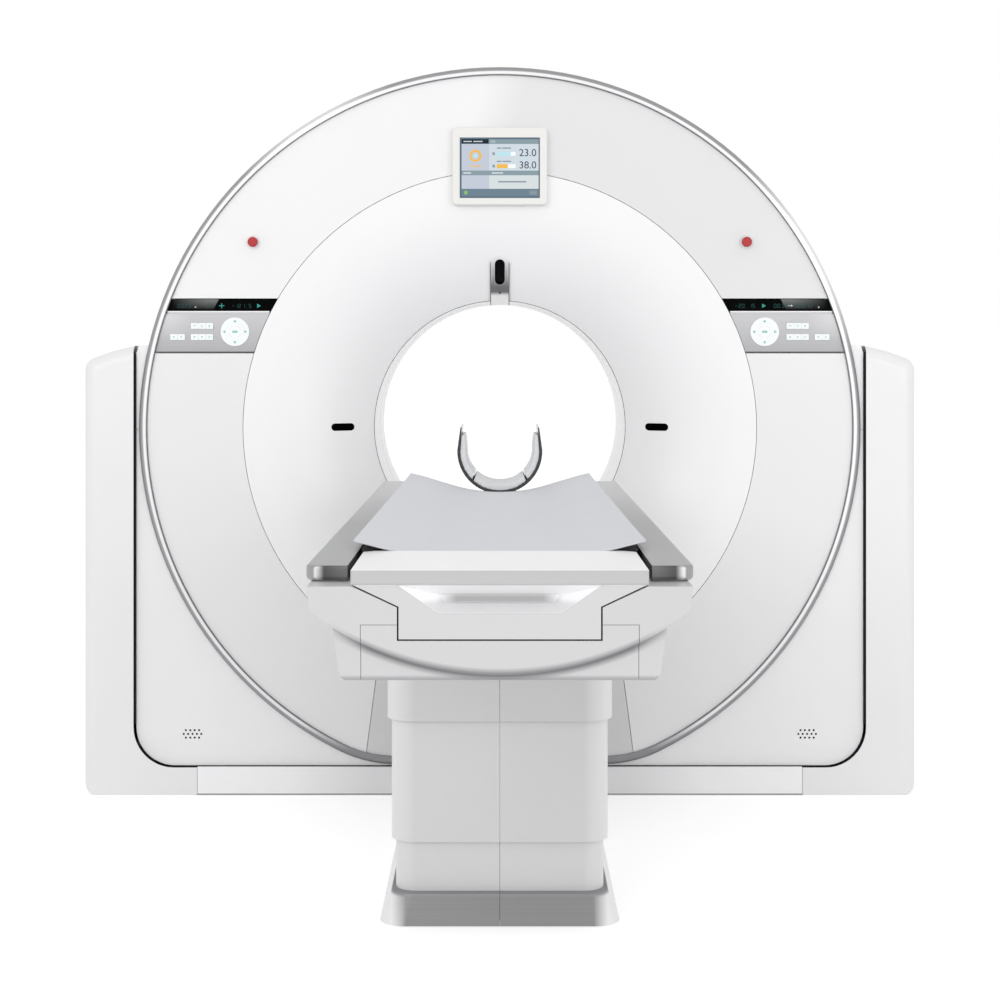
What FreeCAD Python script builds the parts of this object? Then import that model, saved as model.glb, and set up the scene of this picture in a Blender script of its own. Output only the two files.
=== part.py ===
"""Tilting whole-body CT scanner with its patient table.

Millimetres. X is to the viewer's right, Y runs into the gantry, Z is up. The origin is on the
floor straight below the isocentre, which is the middle of the bore.
"""
import FreeCAD, Part
import math
import os
import Sketcher

Vector = FreeCAD.Vector

# ------------------------------------------------------------------ driving dimensions
SIZES = {
    # gantry, seen from the front; heights marked "rel" are measured from the isocentre
    "bore_radius": 350,
    "bore_half_length": 215,
    "liner_wall": 6,
    "funnel_wall": 6,
    "ring_radius": 985,
    "ring_cut": 67,               # the ring's flat is this far short of a full circle
    "floor_gap": 82,              # floor to the ring's flat
    "ring_width": 23,
    "ring_blend": 350,
    "ring_front": 350,            # distance of the ring's face in front of the isocentre
    "ring_depth": 16,
    "ring_round": 12,
    "cover_recess": 6,            # the covers lie this far behind the ring's face
    "cover_wall": 4,
    "side_wall": 5,
    "side_corner": 105,
    "shoulder_height": 226,       # rel
    "shoulder_drop": 21,
    "shoulder_step": 8,
    "iso_split": 4,               # rel, downwards: upper and lower side covers part here
    "seam": 1.5,
    "fit": 0.3,                   # running and seating clearance
    "bearing_play": 0.08,
    # control panels
    "panel_top": 352.4,           # rel
    "strip_bottom": 319,          # rel
    "plate_top": 311,             # rel
    "panel_bottom": 204,          # rel
    "plate_thick": 6,
    "pad_radius": 39,
    "pad_z": 262.2,               # rel
    "key_pitch": 20.4,
    "key_high": 16.6,
    "key_upper_z": 278,           # rel
    "key_lower_z": 247.8,         # rel
    "key_proud": 2.5,
    "key_depth": 7,
    # emergency stops
    "stop_radius": 13.5,
    "stop_head": 10,
    "stop_stem": 8,
    "stop_gap": 4.6,
    "collar_radius": 19,
    "collar_high": 4,
    # display
    "bezel_half_width": 129,
    "bezel_high": 211,
    "bezel_depth": 26,
    "bezel_corner": 12,
    "screen_half_width": 108.6,
    "screen_high": 164,
    "screen_recess": 3,
    # positioning-laser windows
    "window_length": 60,
    "window_width": 20,
    "top_window_length": 67,
    "top_window_width": 27,
    "bracket_half_width": 26.5,
    "bracket_lip": 11,
    "bracket_proud": 4.5,
    # bottom access panel
    "access_top_half": 330,
    "access_bottom_half": 369,
    # intercom grilles
    "grille_pitch": 12,
    "grille_row": 10.2,
    "grille_hole": 3,
    # pillars and base
    "pillar_gap": 5.5,
    "pillar_round": 38,
    "pillar_wall": 5,
    "strip_depth": 7,
    "strip_toe": 4,
    "floor_plate": 10,
    "upright_thick": 40,
    "upright_foot": 300,
    "upright_head": 130,
    "bearing_radius": 95,
    "trunnion_radius": 50,
    "trunnion_collar": 61,
    "anchor_hole": 9,
    "anchor_y": 250,
    # tilting frame and rotor
    "frame_y": 60,
    "frame_thick": 40,
    "arm_half_high": 120,
    "arm_half_deep": 90,
    "race_depth": 40,
    "rotor_back": 15,
    "rotor_thick": 35,
    "tube_radius": 110,
    "rotor_gear_depth": 235,
    "detector_thick": 60,
    "detector_half_angle": 24,
    # patient table
    "column_y": 1150,             # in front of the isocentre
    "couch_drop": 125,            # isocentre down to the top of the rails
    "lower_half_width": 222.5,
    "lower_half_depth": 340,
    "lower_corner": 45,
    "stage_step": 9.3,
    "stage_wall": 3,
    "lower_top": 330,
    "middle_bottom": 165,
    "middle_top": 492,
    "upper_bottom": 422.7,
    "foot_high": 60,
    "foot_flare": 24,
    "foot_wall": 4,
    "base_plate": 12,
    "tube_outer": 200,
    "tube_step": 15,
    "tube_wall": 10,
    "tube_outer_top": 380,
    "tube_middle_bottom": 135,
    "tube_inner_bottom": 385,
    "hull_front": 2676,
    "hull_wall": 5,
    "box_setback": 10,
    "box_corner": 12,
    "trough_wall": 4,
    "trough_half_width": 154.5,
    "service_half_width": 209,
    "cap_overhang": 4,
    "cap_gap": 2.5,
    "cradle_sag": 48,
    "cradle_thick": 18,
    "mat_knee": 130,              # the mat's wings start here
    "carriage_length": 380,
    "holder_half_width": 110,
    "holder_wall": 7,
    "tongue_half_width": 42,
}

FORMULAS = {
    # sizes that follow from the ones above
    "ring_floor": "ring_radius - ring_cut",
    "iso_height": "ring_floor + floor_gap",
    "side_floor": "ring_floor + 4.4",
    "funnel_radius": "ring_radius - 285",
    "funnel_flat_radius": "funnel_radius - 60",
    "side_half_width": "ring_radius + 8",
    "arch_radius": "ring_radius - 10",
    "mouth_radius": "ring_radius - 30",
    "key_pair_x": "ring_radius - 106.3",
    "key_x": "key_pair_x - 66.6",
    "pad_x": "key_x - 89.8",
    "stop_x": "ring_radius - 312.5",
    "stop_z": "ring_radius - 478.4",
    "bezel_bottom": "funnel_radius - 94",
    "screen_bottom": "bezel_bottom + 19",
    "window_radius": "bore_radius + 83",
    "bracket_top": "window_radius + 38",
    "grille_x": "side_half_width - 153",
    "grille_z": "ring_floor - 81",
    "pillar_half_width": "side_half_width + 143",
    "pillar_foot_x": "side_half_width - 168",
    "pillar_foot_high": "floor_gap - 7.9",
    "strip_top": "floor_gap - 5.4",
    "upright_x": "side_half_width + 17",
    "upright_top": "iso_height + 130",
    "anchor_x": "pillar_half_width - 66",
    "frame_inner": "bore_radius + 50",
    "frame_outer": "ring_radius - 105",
    "rotor_inner": "bore_radius + 30",
    "rotor_outer": "ring_radius - 125",
    "race_inner": "rotor_outer - 300",
    "race_outer": "race_inner + 60",
    "tube_centre": "rotor_outer - 210",
    "focus_height": "tube_centre - 50",
    "detector_radius": "focus_height + 460",
    "foot_half_width": "lower_half_width + 31.5",
    "foot_front": "column_y + lower_half_depth + 53",
    "rail_top": "iso_height - couch_drop",
    "box_bottom": "rail_top - 167",
    "box_half_bottom": "lower_half_width + 18.5",
    "box_half_top": "lower_half_width + 29.5",
    "hull_back": "column_y - 452",
    "hull_lip": "rail_top - 158",
    "hull_edge_half": "lower_half_width + 23.5",
    "hull_edge_z": "rail_top - 90",
    "hull_bilge_half": "hull_edge_half + 41",
    "hull_bilge_z": "rail_top - 60",
    "hull_top_half": "hull_edge_half + 44",
    "hull_top": "rail_top - 27",
    "trough_floor": "rail_top - 111",
    "trough_shoulder": "rail_top - 56",
    "service_top": "rail_top - 83",
    "rail_inner": "hull_edge_half - 13",
    "rail_outer": "hull_top_half + 9",
    "rail_front": "hull_front - 62",
    "rail_back": "hull_back - 47",
    "cap_half_width": "hull_edge_half - 22",
    "cap_back": "hull_front - 287",
    "cap_top": "rail_top - 0.7",
    "cradle_half_front": "hull_edge_half - 18",
    "cradle_half_back": "cradle_half_front - 6",
    "cradle_edge": "rail_top + 3",
    "mat_half_front": "hull_edge_half - 3.4",
    "mat_half_back": "mat_half_front - 13.6",
    "mat_back": "column_y - 533",
    "holder_tip": "rail_top + 136",
    "holder_bottom": "rail_top - 35",
    "holder_front": "mat_back - 5",
    "holder_back": "mat_back - 255",
    "mouth_knee": "cap_half_width - 1.5",
}


class Size:
    """A dimension that carries both its number and the spreadsheet formula behind it."""

    def __init__(self, value, text):
        self.value = value
        self.text = text

    def __add__(self, other):
        other = as_size(other)
        return Size(self.value + other.value, "(%s + %s)" % (self.text, other.text))

    def __sub__(self, other):
        other = as_size(other)
        return Size(self.value - other.value, "(%s - %s)" % (self.text, other.text))

    def __mul__(self, other):
        other = as_size(other)
        return Size(self.value * other.value, "(%s * %s)" % (self.text, other.text))

    def __truediv__(self, other):
        other = as_size(other)
        return Size(self.value / other.value, "(%s / %s)" % (self.text, other.text))

    def __radd__(self, other):
        return as_size(other) + self

    def __rsub__(self, other):
        return as_size(other) - self

    def __rmul__(self, other):
        return as_size(other) * self

    def __neg__(self):
        return Size(-self.value, "(0 - %s)" % self.text)


def as_size(number):
    if isinstance(number, Size):
        return number
    return Size(float(number), "%.6f" % float(number))


def root(number):
    number = as_size(number)
    return Size(math.sqrt(number.value), "sqrt(%s)" % number.text)


def leg(long_side, short_side):
    """Other leg of a right triangle."""
    return root(as_size(long_side) * long_side - as_size(short_side) * short_side)


doc = FreeCAD.newDocument("ct_scanner")
sheet = doc.addObject("Spreadsheet::Sheet", "sizes")
CELLS = [(alias, str(number)) for alias, number in SIZES.items()]
CELLS += [(alias, "=" + formula) for alias, formula in FORMULAS.items()]
for row, (alias, content) in enumerate(CELLS, start=1):
    sheet.set("A%d" % row, alias)
    sheet.set("B%d" % row, content)
    sheet.setAlias("B%d" % row, alias)
doc.recompute()


def s(alias):
    """The driving dimension of that name."""
    return Size(float(sheet.get(alias)), "sizes.%s" % alias)


def bind(thing, prop, number):
    """Ties a property to its formula."""
    number = as_size(number)
    thing.setExpression(prop, number.text)


# ------------------------------------------------------------------ sketches and features
PLANES = {"x": "YZ_Plane", "y": "XZ_Plane", "z": "XY_Plane"}
NODES = []


def make_body(label, at_iso=False):
    body = doc.addObject("PartDesign::Body", label)
    body.Label = label
    if at_iso:
        bind(body, ".Placement.Base.z", s("iso_height"))
        body.Placement.Base.z = s("iso_height").value
    return body


def circle(x, y, radius):
    return {"kind": "circle", "at": (as_size(x), as_size(y)), "radius": as_size(radius)}


def polygon(*points):
    """Closed outline; a point (x, y, r) is a corner rounded to radius r."""
    corners = []
    for point in points:
        radius = as_size(point[2]) if len(point) > 2 else None
        corners.append((as_size(point[0]), as_size(point[1]), radius))
    return {"kind": "polygon", "corners": corners}


def path(*points):
    """Closed outline; (x, y, r, side) leaves by an arc of radius r, centred left (1) or right (-1)."""
    corners = []
    for point in points:
        radius = as_size(point[2]) if len(point) > 2 else None
        side = point[3] if len(point) > 2 else 0
        corners.append((as_size(point[0]), as_size(point[1]), radius, side))
    return {"kind": "path", "corners": corners}


def box_outline(x0, x1, y0, y1, radius=None):
    if radius is None:
        return polygon((x0, y0), (x1, y0), (x1, y1), (x0, y1))
    return polygon((x0, y0, radius), (x1, y0, radius), (x1, y1, radius), (x0, y1, radius))


def slot_outline(x, y, length, width, upright=False):
    """Stadium of that overall length and width about a centre."""
    half_long = as_size(length) / 2
    half_wide = as_size(width) / 2
    radius = half_wide - 0.6
    if upright:
        return box_outline(x - half_wide, x + half_wide, y - half_long, y + half_long, radius)
    return box_outline(x - half_long, x + half_long, y - half_wide, y + half_wide, radius)


def fix_point(sketch, geometry, end, x, y):
    """Pins one point of the sketch at formulas measured from its origin."""
    for kind, axis, number in (("DistanceX", -2, x), ("DistanceY", -1, y)):
        if abs(number.value) < 1e-9:
            sketch.addConstraint(Sketcher.Constraint("PointOnObject", geometry, end, axis))
            continue
        index = sketch.addConstraint(
            Sketcher.Constraint(kind, -1, 1, geometry, end, number.value))
        sketch.setExpression("Constraints[%d]" % index, number.text)


def add_circle(sketch, loop):
    x, y = loop["at"]
    radius = loop["radius"]
    round_edge = Part.Circle(Vector(x.value, y.value, 0), Vector(0, 0, 1), radius.value)
    index = sketch.addGeometry(round_edge, False)
    if abs(x.value) < 1e-9 and abs(y.value) < 1e-9:
        sketch.addConstraint(Sketcher.Constraint("Coincident", index, 3, -1, 1))
    else:
        fix_point(sketch, index, 3, x, y)
    held = sketch.addConstraint(Sketcher.Constraint("Radius", index, radius.value))
    sketch.setExpression("Constraints[%d]" % held, radius.text)


def corner_arc(before, corner, after, radius):
    """Tangent points and centre of a rounded corner."""
    to_before = (before - corner).normalize()
    to_after = (after - corner).normalize()
    half_angle = to_before.getAngle(to_after) / 2
    reach = radius / math.tan(half_angle)
    centre = corner + (to_before + to_after).normalize() * (radius / math.sin(half_angle))
    return corner + to_before * reach, corner + to_after * reach, centre


def add_polygon(sketch, loop):
    corners = loop["corners"]
    spots = [Vector(x.value, y.value, 0) for x, y, radius in corners]
    count = len(corners)
    starts = list(spots)
    ends = list(spots)
    centres = [None] * count
    for i, (x, y, radius) in enumerate(corners):
        if radius is not None:
            starts[i], ends[i], centres[i] = corner_arc(
                spots[i - 1], spots[i], spots[(i + 1) % count], radius.value)
    lines = []
    for i in range(count):
        after = (i + 1) % count
        lines.append(sketch.addGeometry(Part.LineSegment(ends[i], starts[after]), False))
    for i, (x, y, radius) in enumerate(corners):
        before = lines[i - 1]
        after = lines[i]
        if radius is None:
            sketch.addConstraint(Sketcher.Constraint("Coincident", before, 2, after, 1))
            fix_point(sketch, after, 1, x, y)
            continue
        add_round_corner(sketch, before, after, spots[i], starts[i], ends[i], centres[i], corners[i])


def add_round_corner(sketch, before, after, spot, start, end, centre, corner):
    x, y, radius = corner
    first = math.atan2(start.y - centre.y, start.x - centre.x)
    last = math.atan2(end.y - centre.y, end.x - centre.x)
    turn = (start - centre).cross(end - centre).z
    rim = Part.Circle(centre, Vector(0, 0, 1), radius.value)
    if turn > 0:
        arc = sketch.addGeometry(Part.ArcOfCircle(rim, first, last), False)
        begin, finish = 1, 2
    else:
        arc = sketch.addGeometry(Part.ArcOfCircle(rim, last, first), False)
        begin, finish = 2, 1
    sketch.addConstraint(Sketcher.Constraint("Tangent", before, 2, arc, begin))
    sketch.addConstraint(Sketcher.Constraint("Tangent", arc, finish, after, 1))
    held = sketch.addConstraint(Sketcher.Constraint("Radius", arc, radius.value))
    sketch.setExpression("Constraints[%d]" % held, radius.text)
    mark = sketch.addGeometry(Part.Point(spot), True)
    sketch.addConstraint(Sketcher.Constraint("PointOnObject", mark, 1, before))
    sketch.addConstraint(Sketcher.Constraint("PointOnObject", mark, 1, after))
    fix_point(sketch, mark, 1, x, y)


def add_path(sketch, loop):
    corners = loop["corners"]
    spots = [Vector(corner[0].value, corner[1].value, 0) for corner in corners]
    count = len(corners)
    joints = []
    for i, (x, y, radius, side) in enumerate(corners):
        start = spots[i]
        end = spots[(i + 1) % count]
        if radius is None:
            joints.append((sketch.addGeometry(Part.LineSegment(start, end), False), 1, 2))
            continue
        joints.append(add_bulge(sketch, start, end, radius, side))
    for i, (x, y, radius, side) in enumerate(corners):
        before = joints[i - 1]
        after = joints[i]
        sketch.addConstraint(
            Sketcher.Constraint("Coincident", before[0], before[2], after[0], after[1]))
        fix_point(sketch, after[0], after[1], x, y)


def add_bulge(sketch, start, end, radius, side):
    """Arc between two points, shorter than a half turn."""
    chord = end - start
    half = chord.Length / 2
    across = Vector(-chord.y, chord.x, 0).normalize() * side
    centre = (start + end) / 2 + across * math.sqrt(radius.value ** 2 - half ** 2)
    first = math.atan2(start.y - centre.y, start.x - centre.x)
    last = math.atan2(end.y - centre.y, end.x - centre.x)
    rim = Part.Circle(centre, Vector(0, 0, 1), radius.value)
    if side > 0:
        arc = sketch.addGeometry(Part.ArcOfCircle(rim, first, last), False)
        ends = (1, 2)
    else:
        arc = sketch.addGeometry(Part.ArcOfCircle(rim, last, first), False)
        ends = (2, 1)
    held = sketch.addConstraint(Sketcher.Constraint("Radius", arc, radius.value))
    sketch.setExpression("Constraints[%d]" % held, radius.text)
    return (arc,) + ends


def draw(body, axis, place, loops):
    """Sketch square to an axis, at that place along it."""
    plane = [f for f in body.Origin.OriginFeatures if f.Role == PLANES[axis]][0]
    sketch = body.newObject("Sketcher::SketchObject", "Outline")
    sketch.AttachmentSupport = [(plane, "")]
    sketch.MapMode = "FlatFace"
    offset = -as_size(place) if axis == "y" else as_size(place)
    bind(sketch, ".AttachmentOffset.Base.z", offset)
    for loop in loops:
        if loop["kind"] == "circle":
            add_circle(sketch, loop)
        elif loop["kind"] == "path":
            add_path(sketch, loop)
        else:
            add_polygon(sketch, loop)
    return sketch


def pad(body, axis, low, high, *loops):
    """Adds material between two places along an axis."""
    low = as_size(low)
    high = as_size(high)
    sketch = draw(body, axis, high if axis == "y" else low, loops)
    feature = body.newObject("PartDesign::Pad", "Pad")
    feature.Profile = sketch
    bind(feature, "Length", high - low)
    doc.recompute()
    return feature


def cut(body, axis, low, high, *loops):
    """Takes material away between two places along an axis."""
    low = as_size(low)
    high = as_size(high)
    before = body.Shape.Volume
    sketch = draw(body, axis, low if axis == "y" else high, loops)
    feature = body.newObject("PartDesign::Pocket", "Pocket")
    feature.Profile = sketch
    bind(feature, "Length", high - low)
    doc.recompute()
    if body.Shape.Volume >= before - 1e-6:
        raise RuntimeError("a pocket of %s cut nothing" % body.Label)
    return feature


def turn(body, *loops, angle=360):
    """Turns a profile about the bore axis: full circle, or a sector centred on the top."""
    sketch = draw(body, "x", 0, loops)
    feature = body.newObject("PartDesign::Revolution", "Turn")
    feature.Profile = sketch
    feature.ReferenceAxis = (sketch, ["H_Axis"])
    feature.Midplane = angle < 360
    feature.Angle = angle
    doc.recompute()
    return feature


def edges_where(shape, test):
    return ["Edge%d" % (i + 1) for i, edge in enumerate(shape.Edges) if test(edge)]


def soften(body, radius, test, kind="Fillet"):
    """Rounds or bevels the edges that pass the test."""
    base = body.Tip
    feature = body.newObject("PartDesign::" + kind, kind)
    names = edges_where(base.Shape, test)
    if not names:
        raise RuntimeError("no edge to soften on %s" % body.Label)
    feature.Base = (base, names)
    bind(feature, "Radius" if kind == "Fillet" else "Size", radius)
    doc.recompute()
    return feature


def hollow(body, wall, test):
    """Makes the body a shell, open at the faces that pass the test."""
    base = body.Tip
    feature = body.newObject("PartDesign::Thickness", "Shell")
    names = ["Face%d" % (i + 1) for i, face in enumerate(base.Shape.Faces) if test(face)]
    feature.Base = (base, names)
    bind(feature, "Value", wall)
    feature.Reversed = True
    feature.Mode = 0
    feature.Join = 1
    doc.recompute()
    return feature


def middle(edge):
    return edge.BoundBox.Center


def near(one, other, tolerance=0.05):
    return abs(one - as_size(other).value) < tolerance


def node(thing, label=None):
    """Registers a finished sub-part under its node name."""
    if label:
        thing.Label = label
    NODES.append(thing)
    return thing


def loft(body, axis, low, high, first, second, kind="Additive"):
    """Solid, or with kind Subtractive a hollow, drawn out between two outlines along an axis."""
    one = draw(body, axis, low, [first])
    two = draw(body, axis, high, [second])
    feature = body.newObject("PartDesign::%sLoft" % kind, "Loft")
    feature.Profile = one
    feature.Sections = [two]
    doc.recompute()
    return feature


def mirrored_pair(label, body, across=Vector(1, 0, 0)):
    """A piece and its mirror image about a middle plane, as one node."""
    other = doc.addObject("Part::Mirroring", label + "_other")
    other.Source = body
    other.Normal = across
    pair = doc.addObject("Part::Compound", label + "_pair")
    pair.Links = [body, other]
    body.Label = label + "_half"
    doc.recompute()
    return node(pair, label)


def boolean(kind, label, base, tool):
    result = doc.addObject("Part::" + kind, label + "_" + kind.lower())
    result.Base = base
    result.Tool = tool
    doc.recompute()
    result.Label = label
    return result


# ------------------------------------------------------------------ places worked out once
FIT = s("fit")
PLAY = s("bearing_play")
SEAM = s("seam")
RING_FACE = -s("ring_front")
COVER_FACE = RING_FACE + s("cover_recess")
SIDE_FACE = RING_FACE + s("ring_depth")
COVER_EDGE = s("ring_radius") - s("ring_width") - FIT
COVER_FLOOR = s("ring_floor") - s("ring_width") - FIT
COVER_BLEND = s("ring_blend") - s("ring_width") - FIT
FUNNEL_SEAM = s("funnel_radius") + SEAM
FUNNEL_RUN = -COVER_FACE - s("bore_half_length")
FUNNEL_RISE = s("funnel_flat_radius") - s("bore_radius")
FUNNEL_CURVE = (FUNNEL_RUN * FUNNEL_RUN + FUNNEL_RISE * FUNNEL_RISE) / (FUNNEL_RUN * 2)
FUNNEL_CENTRE_Y = COVER_FACE + FUNNEL_CURVE
PILLAR_INNER = s("side_half_width") + s("pillar_gap")


def drum(radius, floor, blend):
    """Circle about the bore axis, flattened at the bottom and blended into the flat."""
    reach = radius - blend
    drop = floor - blend
    flat = leg(reach, drop)
    side = flat * radius / reach
    low = drop * radius / reach
    return path((-flat, -floor), (flat, -floor, blend, 1), (side, -low, radius, 1),
                (0, radius, radius, 1), (-side, -low, blend, 1))


def funnel_y(radius, curve):
    """Where a surface concentric with the funnel's curve stands at that distance from the axis."""
    return FUNNEL_CENTRE_Y - leg(curve, s("funnel_flat_radius") - radius)


def funnel_band(low, high, outer_curve, inner_curve):
    """Profile of a band that follows the funnel's curve between two radii."""
    return path((funnel_y(low, outer_curve), low, outer_curve, -1),
                (funnel_y(high, outer_curve), high),
                (funnel_y(high, inner_curve), high, inner_curve, 1),
                (funnel_y(low, inner_curve), low))


# ------------------------------------------------------------------ gantry covers
def make_ring_trim():
    body = make_body("ring_trim", at_iso=True)
    width = s("ring_width")
    pad(body, "y", RING_FACE, SIDE_FACE,
        drum(s("ring_radius"), s("ring_floor"), s("ring_blend")))
    face = RING_FACE.value
    soften(body, s("ring_round"), lambda edge: near(edge.BoundBox.YMax, face))
    cut(body, "y", RING_FACE - 1, SIDE_FACE + 1,
        drum(s("ring_radius") - width, s("ring_floor") - width, s("ring_blend") - width))
    node(body)


def open_back(face, back):
    return near(face.BoundBox.YMin, back) and near(face.BoundBox.YMax, back)


def hollow_back(body, back):
    place = back.value
    hollow(body, s("cover_wall"), lambda face: open_back(face, place))


def make_front_cover_upper():
    body = make_body("front_cover_upper", at_iso=True)
    pad(body, "y", COVER_FACE, SIDE_FACE, circle(0, 0, COVER_EDGE), circle(0, 0, FUNNEL_SEAM))
    edge = COVER_EDGE + 10
    cut(body, "y", COVER_FACE - 1, SIDE_FACE + 1,
        box_outline(-edge, edge, -edge, s("panel_top") + SEAM / 2))
    hollow_back(body, SIDE_FACE)
    hole = s("stop_stem") + FIT
    for side in (-1, 1):
        x = s("stop_x") * side
        pad(body, "y", COVER_FACE - s("collar_high"), COVER_FACE,
            circle(x, s("stop_z"), s("collar_radius")))
        cut(body, "y", COVER_FACE - s("collar_high") - 1, SIDE_FACE,
            circle(x, s("stop_z"), hole))
    node(body)


def access_outline(step):
    """Slanted seams of the bottom access panel, moved outwards by a step."""
    inner = s("access_top_half") + step
    outer = s("access_bottom_half") + step
    top = -leg(FUNNEL_SEAM, s("access_top_half"))
    low = -s("ring_floor")
    return polygon((-inner, top), (-outer, low), (outer, low), (inner, top))


def make_front_cover_lower():
    body = make_body("front_cover_lower", at_iso=True)
    pad(body, "y", COVER_FACE, SIDE_FACE, drum(COVER_EDGE, COVER_FLOOR, COVER_BLEND),
        circle(0, 0, FUNNEL_SEAM))
    edge = COVER_EDGE + 10
    cut(body, "y", COVER_FACE - 1, SIDE_FACE + 1,
        box_outline(-edge, edge, s("panel_bottom") - SEAM / 2, edge))
    cut(body, "y", COVER_FACE - 1, SIDE_FACE + 1, access_outline(as_size(0)))
    hollow_back(body, SIDE_FACE)
    node(body)


def make_bottom_access_panel():
    body = make_body("bottom_access_panel", at_iso=True)
    pad(body, "y", COVER_FACE, SIDE_FACE, access_outline(-SEAM))
    cut(body, "y", COVER_FACE - 1, SIDE_FACE + 1, circle(0, 0, FUNNEL_SEAM))
    edge = COVER_EDGE + 40
    cut(body, "y", COVER_FACE - 1, SIDE_FACE + 1, box_outline(-edge, edge, -edge, edge),
        drum(COVER_EDGE, COVER_FLOOR, COVER_BLEND))
    hollow_back(body, SIDE_FACE)
    node(body)


def window_loops(gap):
    """Outlines of the three laser windows, larger all round by a gap."""
    middle_z = s("window_radius") - 5
    top = slot_outline(as_size(0), middle_z, s("top_window_length") + gap * 2,
                       s("top_window_width") + gap * 2, upright=True)
    sides = [slot_outline(s("window_radius") * side, as_size(0), s("window_length") + gap * 2,
                          s("window_width") + gap * 2) for side in (-1, 1)]
    return [top] + sides


def make_front_funnel():
    body = make_body("front_funnel", at_iso=True)
    wall = s("funnel_wall")
    length = s("bore_half_length")
    inner = FUNNEL_CURVE - wall
    end = s("funnel_flat_radius") - leg(inner, FUNNEL_CENTRE_Y + length)
    rim = s("funnel_radius")
    flat = s("funnel_flat_radius")
    turn(body, path((-length, s("bore_radius"), FUNNEL_CURVE, -1), (COVER_FACE, flat),
                    (COVER_FACE, rim), (SIDE_FACE, rim), (SIDE_FACE, rim - wall),
                    (COVER_FACE + wall, rim - wall), (COVER_FACE + wall, flat, inner, 1),
                    (-length, end)))
    cut(body, "y", COVER_FACE - 1, -length, *window_loops(FIT))
    node(body)


def make_laser_windows():
    """Three dark glass windows, set just behind the funnel's surface."""
    glass = make_body("window_glass", at_iso=True)
    front = FUNNEL_CURVE - 2
    turn(glass, funnel_band(s("bore_radius") + 30, s("bore_radius") + 130, front, front - 4))
    pieces = []
    for i, loop in enumerate(window_loops(as_size(0))):
        punch = make_body("window_punch_%d" % i, at_iso=True)
        pad(punch, "y", COVER_FACE - 20, -s("bore_half_length") + 20, loop)
        pieces.append(boolean("Common", "window_%d" % i, glass, punch))
    group = doc.addObject("Part::Compound", "laser_windows")
    group.Links = pieces
    doc.recompute()
    node(group, "laser_windows")


def make_window_bracket():
    """Bright bracket round the top window, with its lip over the bore's edge."""
    band = make_body("bracket_band", at_iso=True)
    outer = FUNNEL_CURVE + s("bracket_proud")
    turn(band, funnel_band(s("bore_radius") - s("bracket_lip"), s("bracket_top") + 5,
                           outer, FUNNEL_CURVE + FIT), angle=14)
    shape = make_body("bracket_shape", at_iso=True)
    half = s("bracket_half_width")
    pad(shape, "y", COVER_FACE - 20, -s("bore_half_length") + 40,
        polygon((-half, 0), (half, 0), (half, s("bracket_top"), half - 0.01),
                (-half, s("bracket_top"), half - 0.01)), window_loops(FIT)[0])
    node(boolean("Common", "window_bracket", band, shape))


def make_bore_liner():
    body = make_body("bore_liner", at_iso=True)
    length = s("bore_half_length")
    inner = s("bore_radius")
    outer = inner + s("liner_wall")
    slit = length / 5
    turn(body, path((-length, inner), (-slit, inner), (-slit, inner + 1), (slit, inner + 1),
                    (slit, inner), (length, inner), (length, outer), (-length, outer)))
    node(body)


def make_rear_cover():
    """Rear wall and rear funnel, moulded as one."""
    body = make_body("rear_cover", at_iso=True)
    wall = s("funnel_wall")
    length = s("bore_half_length")
    inner = FUNNEL_CURVE - wall
    end = s("funnel_flat_radius") - leg(inner, FUNNEL_CENTRE_Y + length)
    flat = s("funnel_flat_radius")
    turn(body, path((length, s("bore_radius"), FUNNEL_CURVE, 1), (-COVER_FACE, flat),
                    (-COVER_FACE, COVER_EDGE), (-SIDE_FACE, COVER_EDGE),
                    (-SIDE_FACE, COVER_EDGE - wall), (-COVER_FACE - wall, COVER_EDGE - wall),
                    (-COVER_FACE - wall, flat, inner, -1), (length, end)))
    edge = COVER_EDGE + 40
    cut(body, "y", -SIDE_FACE - 1, -COVER_FACE + 1, box_outline(-edge, edge, -edge, edge),
        drum(COVER_EDGE, COVER_FLOOR, COVER_BLEND))
    node(body)


def shoulder_outline(wall, low):
    """Section of the shoulders beside the drum, set in by a wall."""
    half = s("side_half_width") - wall
    high = s("shoulder_height") - wall
    step = high - s("shoulder_drop")
    return polygon((-half, low), (half, low), (half, step), (half - s("shoulder_step"), high),
                   (-half + s("shoulder_step"), high), (-half, step))


def make_arch_cover():
    """Hood over the top half of the drum, with a shoulder on each side."""
    body = make_body("arch_cover", at_iso=True)
    wall = s("side_wall")
    low = -s("iso_split") + SEAM / 2
    pad(body, "y", SIDE_FACE, -SIDE_FACE, circle(0, 0, s("arch_radius")))
    edge = s("arch_radius") + 30
    cut(body, "y", SIDE_FACE, -SIDE_FACE, box_outline(-edge, edge, -edge, low))
    pad(body, "y", SIDE_FACE, -SIDE_FACE, shoulder_outline(as_size(0), low))
    cut(body, "y", SIDE_FACE + wall, -SIDE_FACE - wall, circle(0, 0, s("arch_radius") - wall))
    cut(body, "y", SIDE_FACE + wall, -SIDE_FACE - wall, shoulder_outline(wall, low - 1))
    cut(body, "y", SIDE_FACE - 1, -SIDE_FACE + 1, circle(0, 0, s("mouth_radius")))
    reach = s("side_half_width") + 1
    cut(body, "x", -reach, reach, circle(0, 0, s("trunnion_collar") + FIT))
    node(body)


def side_outline(wall, top, near_x):
    half = s("side_half_width") - wall
    low = -s("side_floor") + wall
    return polygon((-half, top), (-half, low, s("side_corner") - wall), (near_x, low),
                   (near_x, top))


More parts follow.
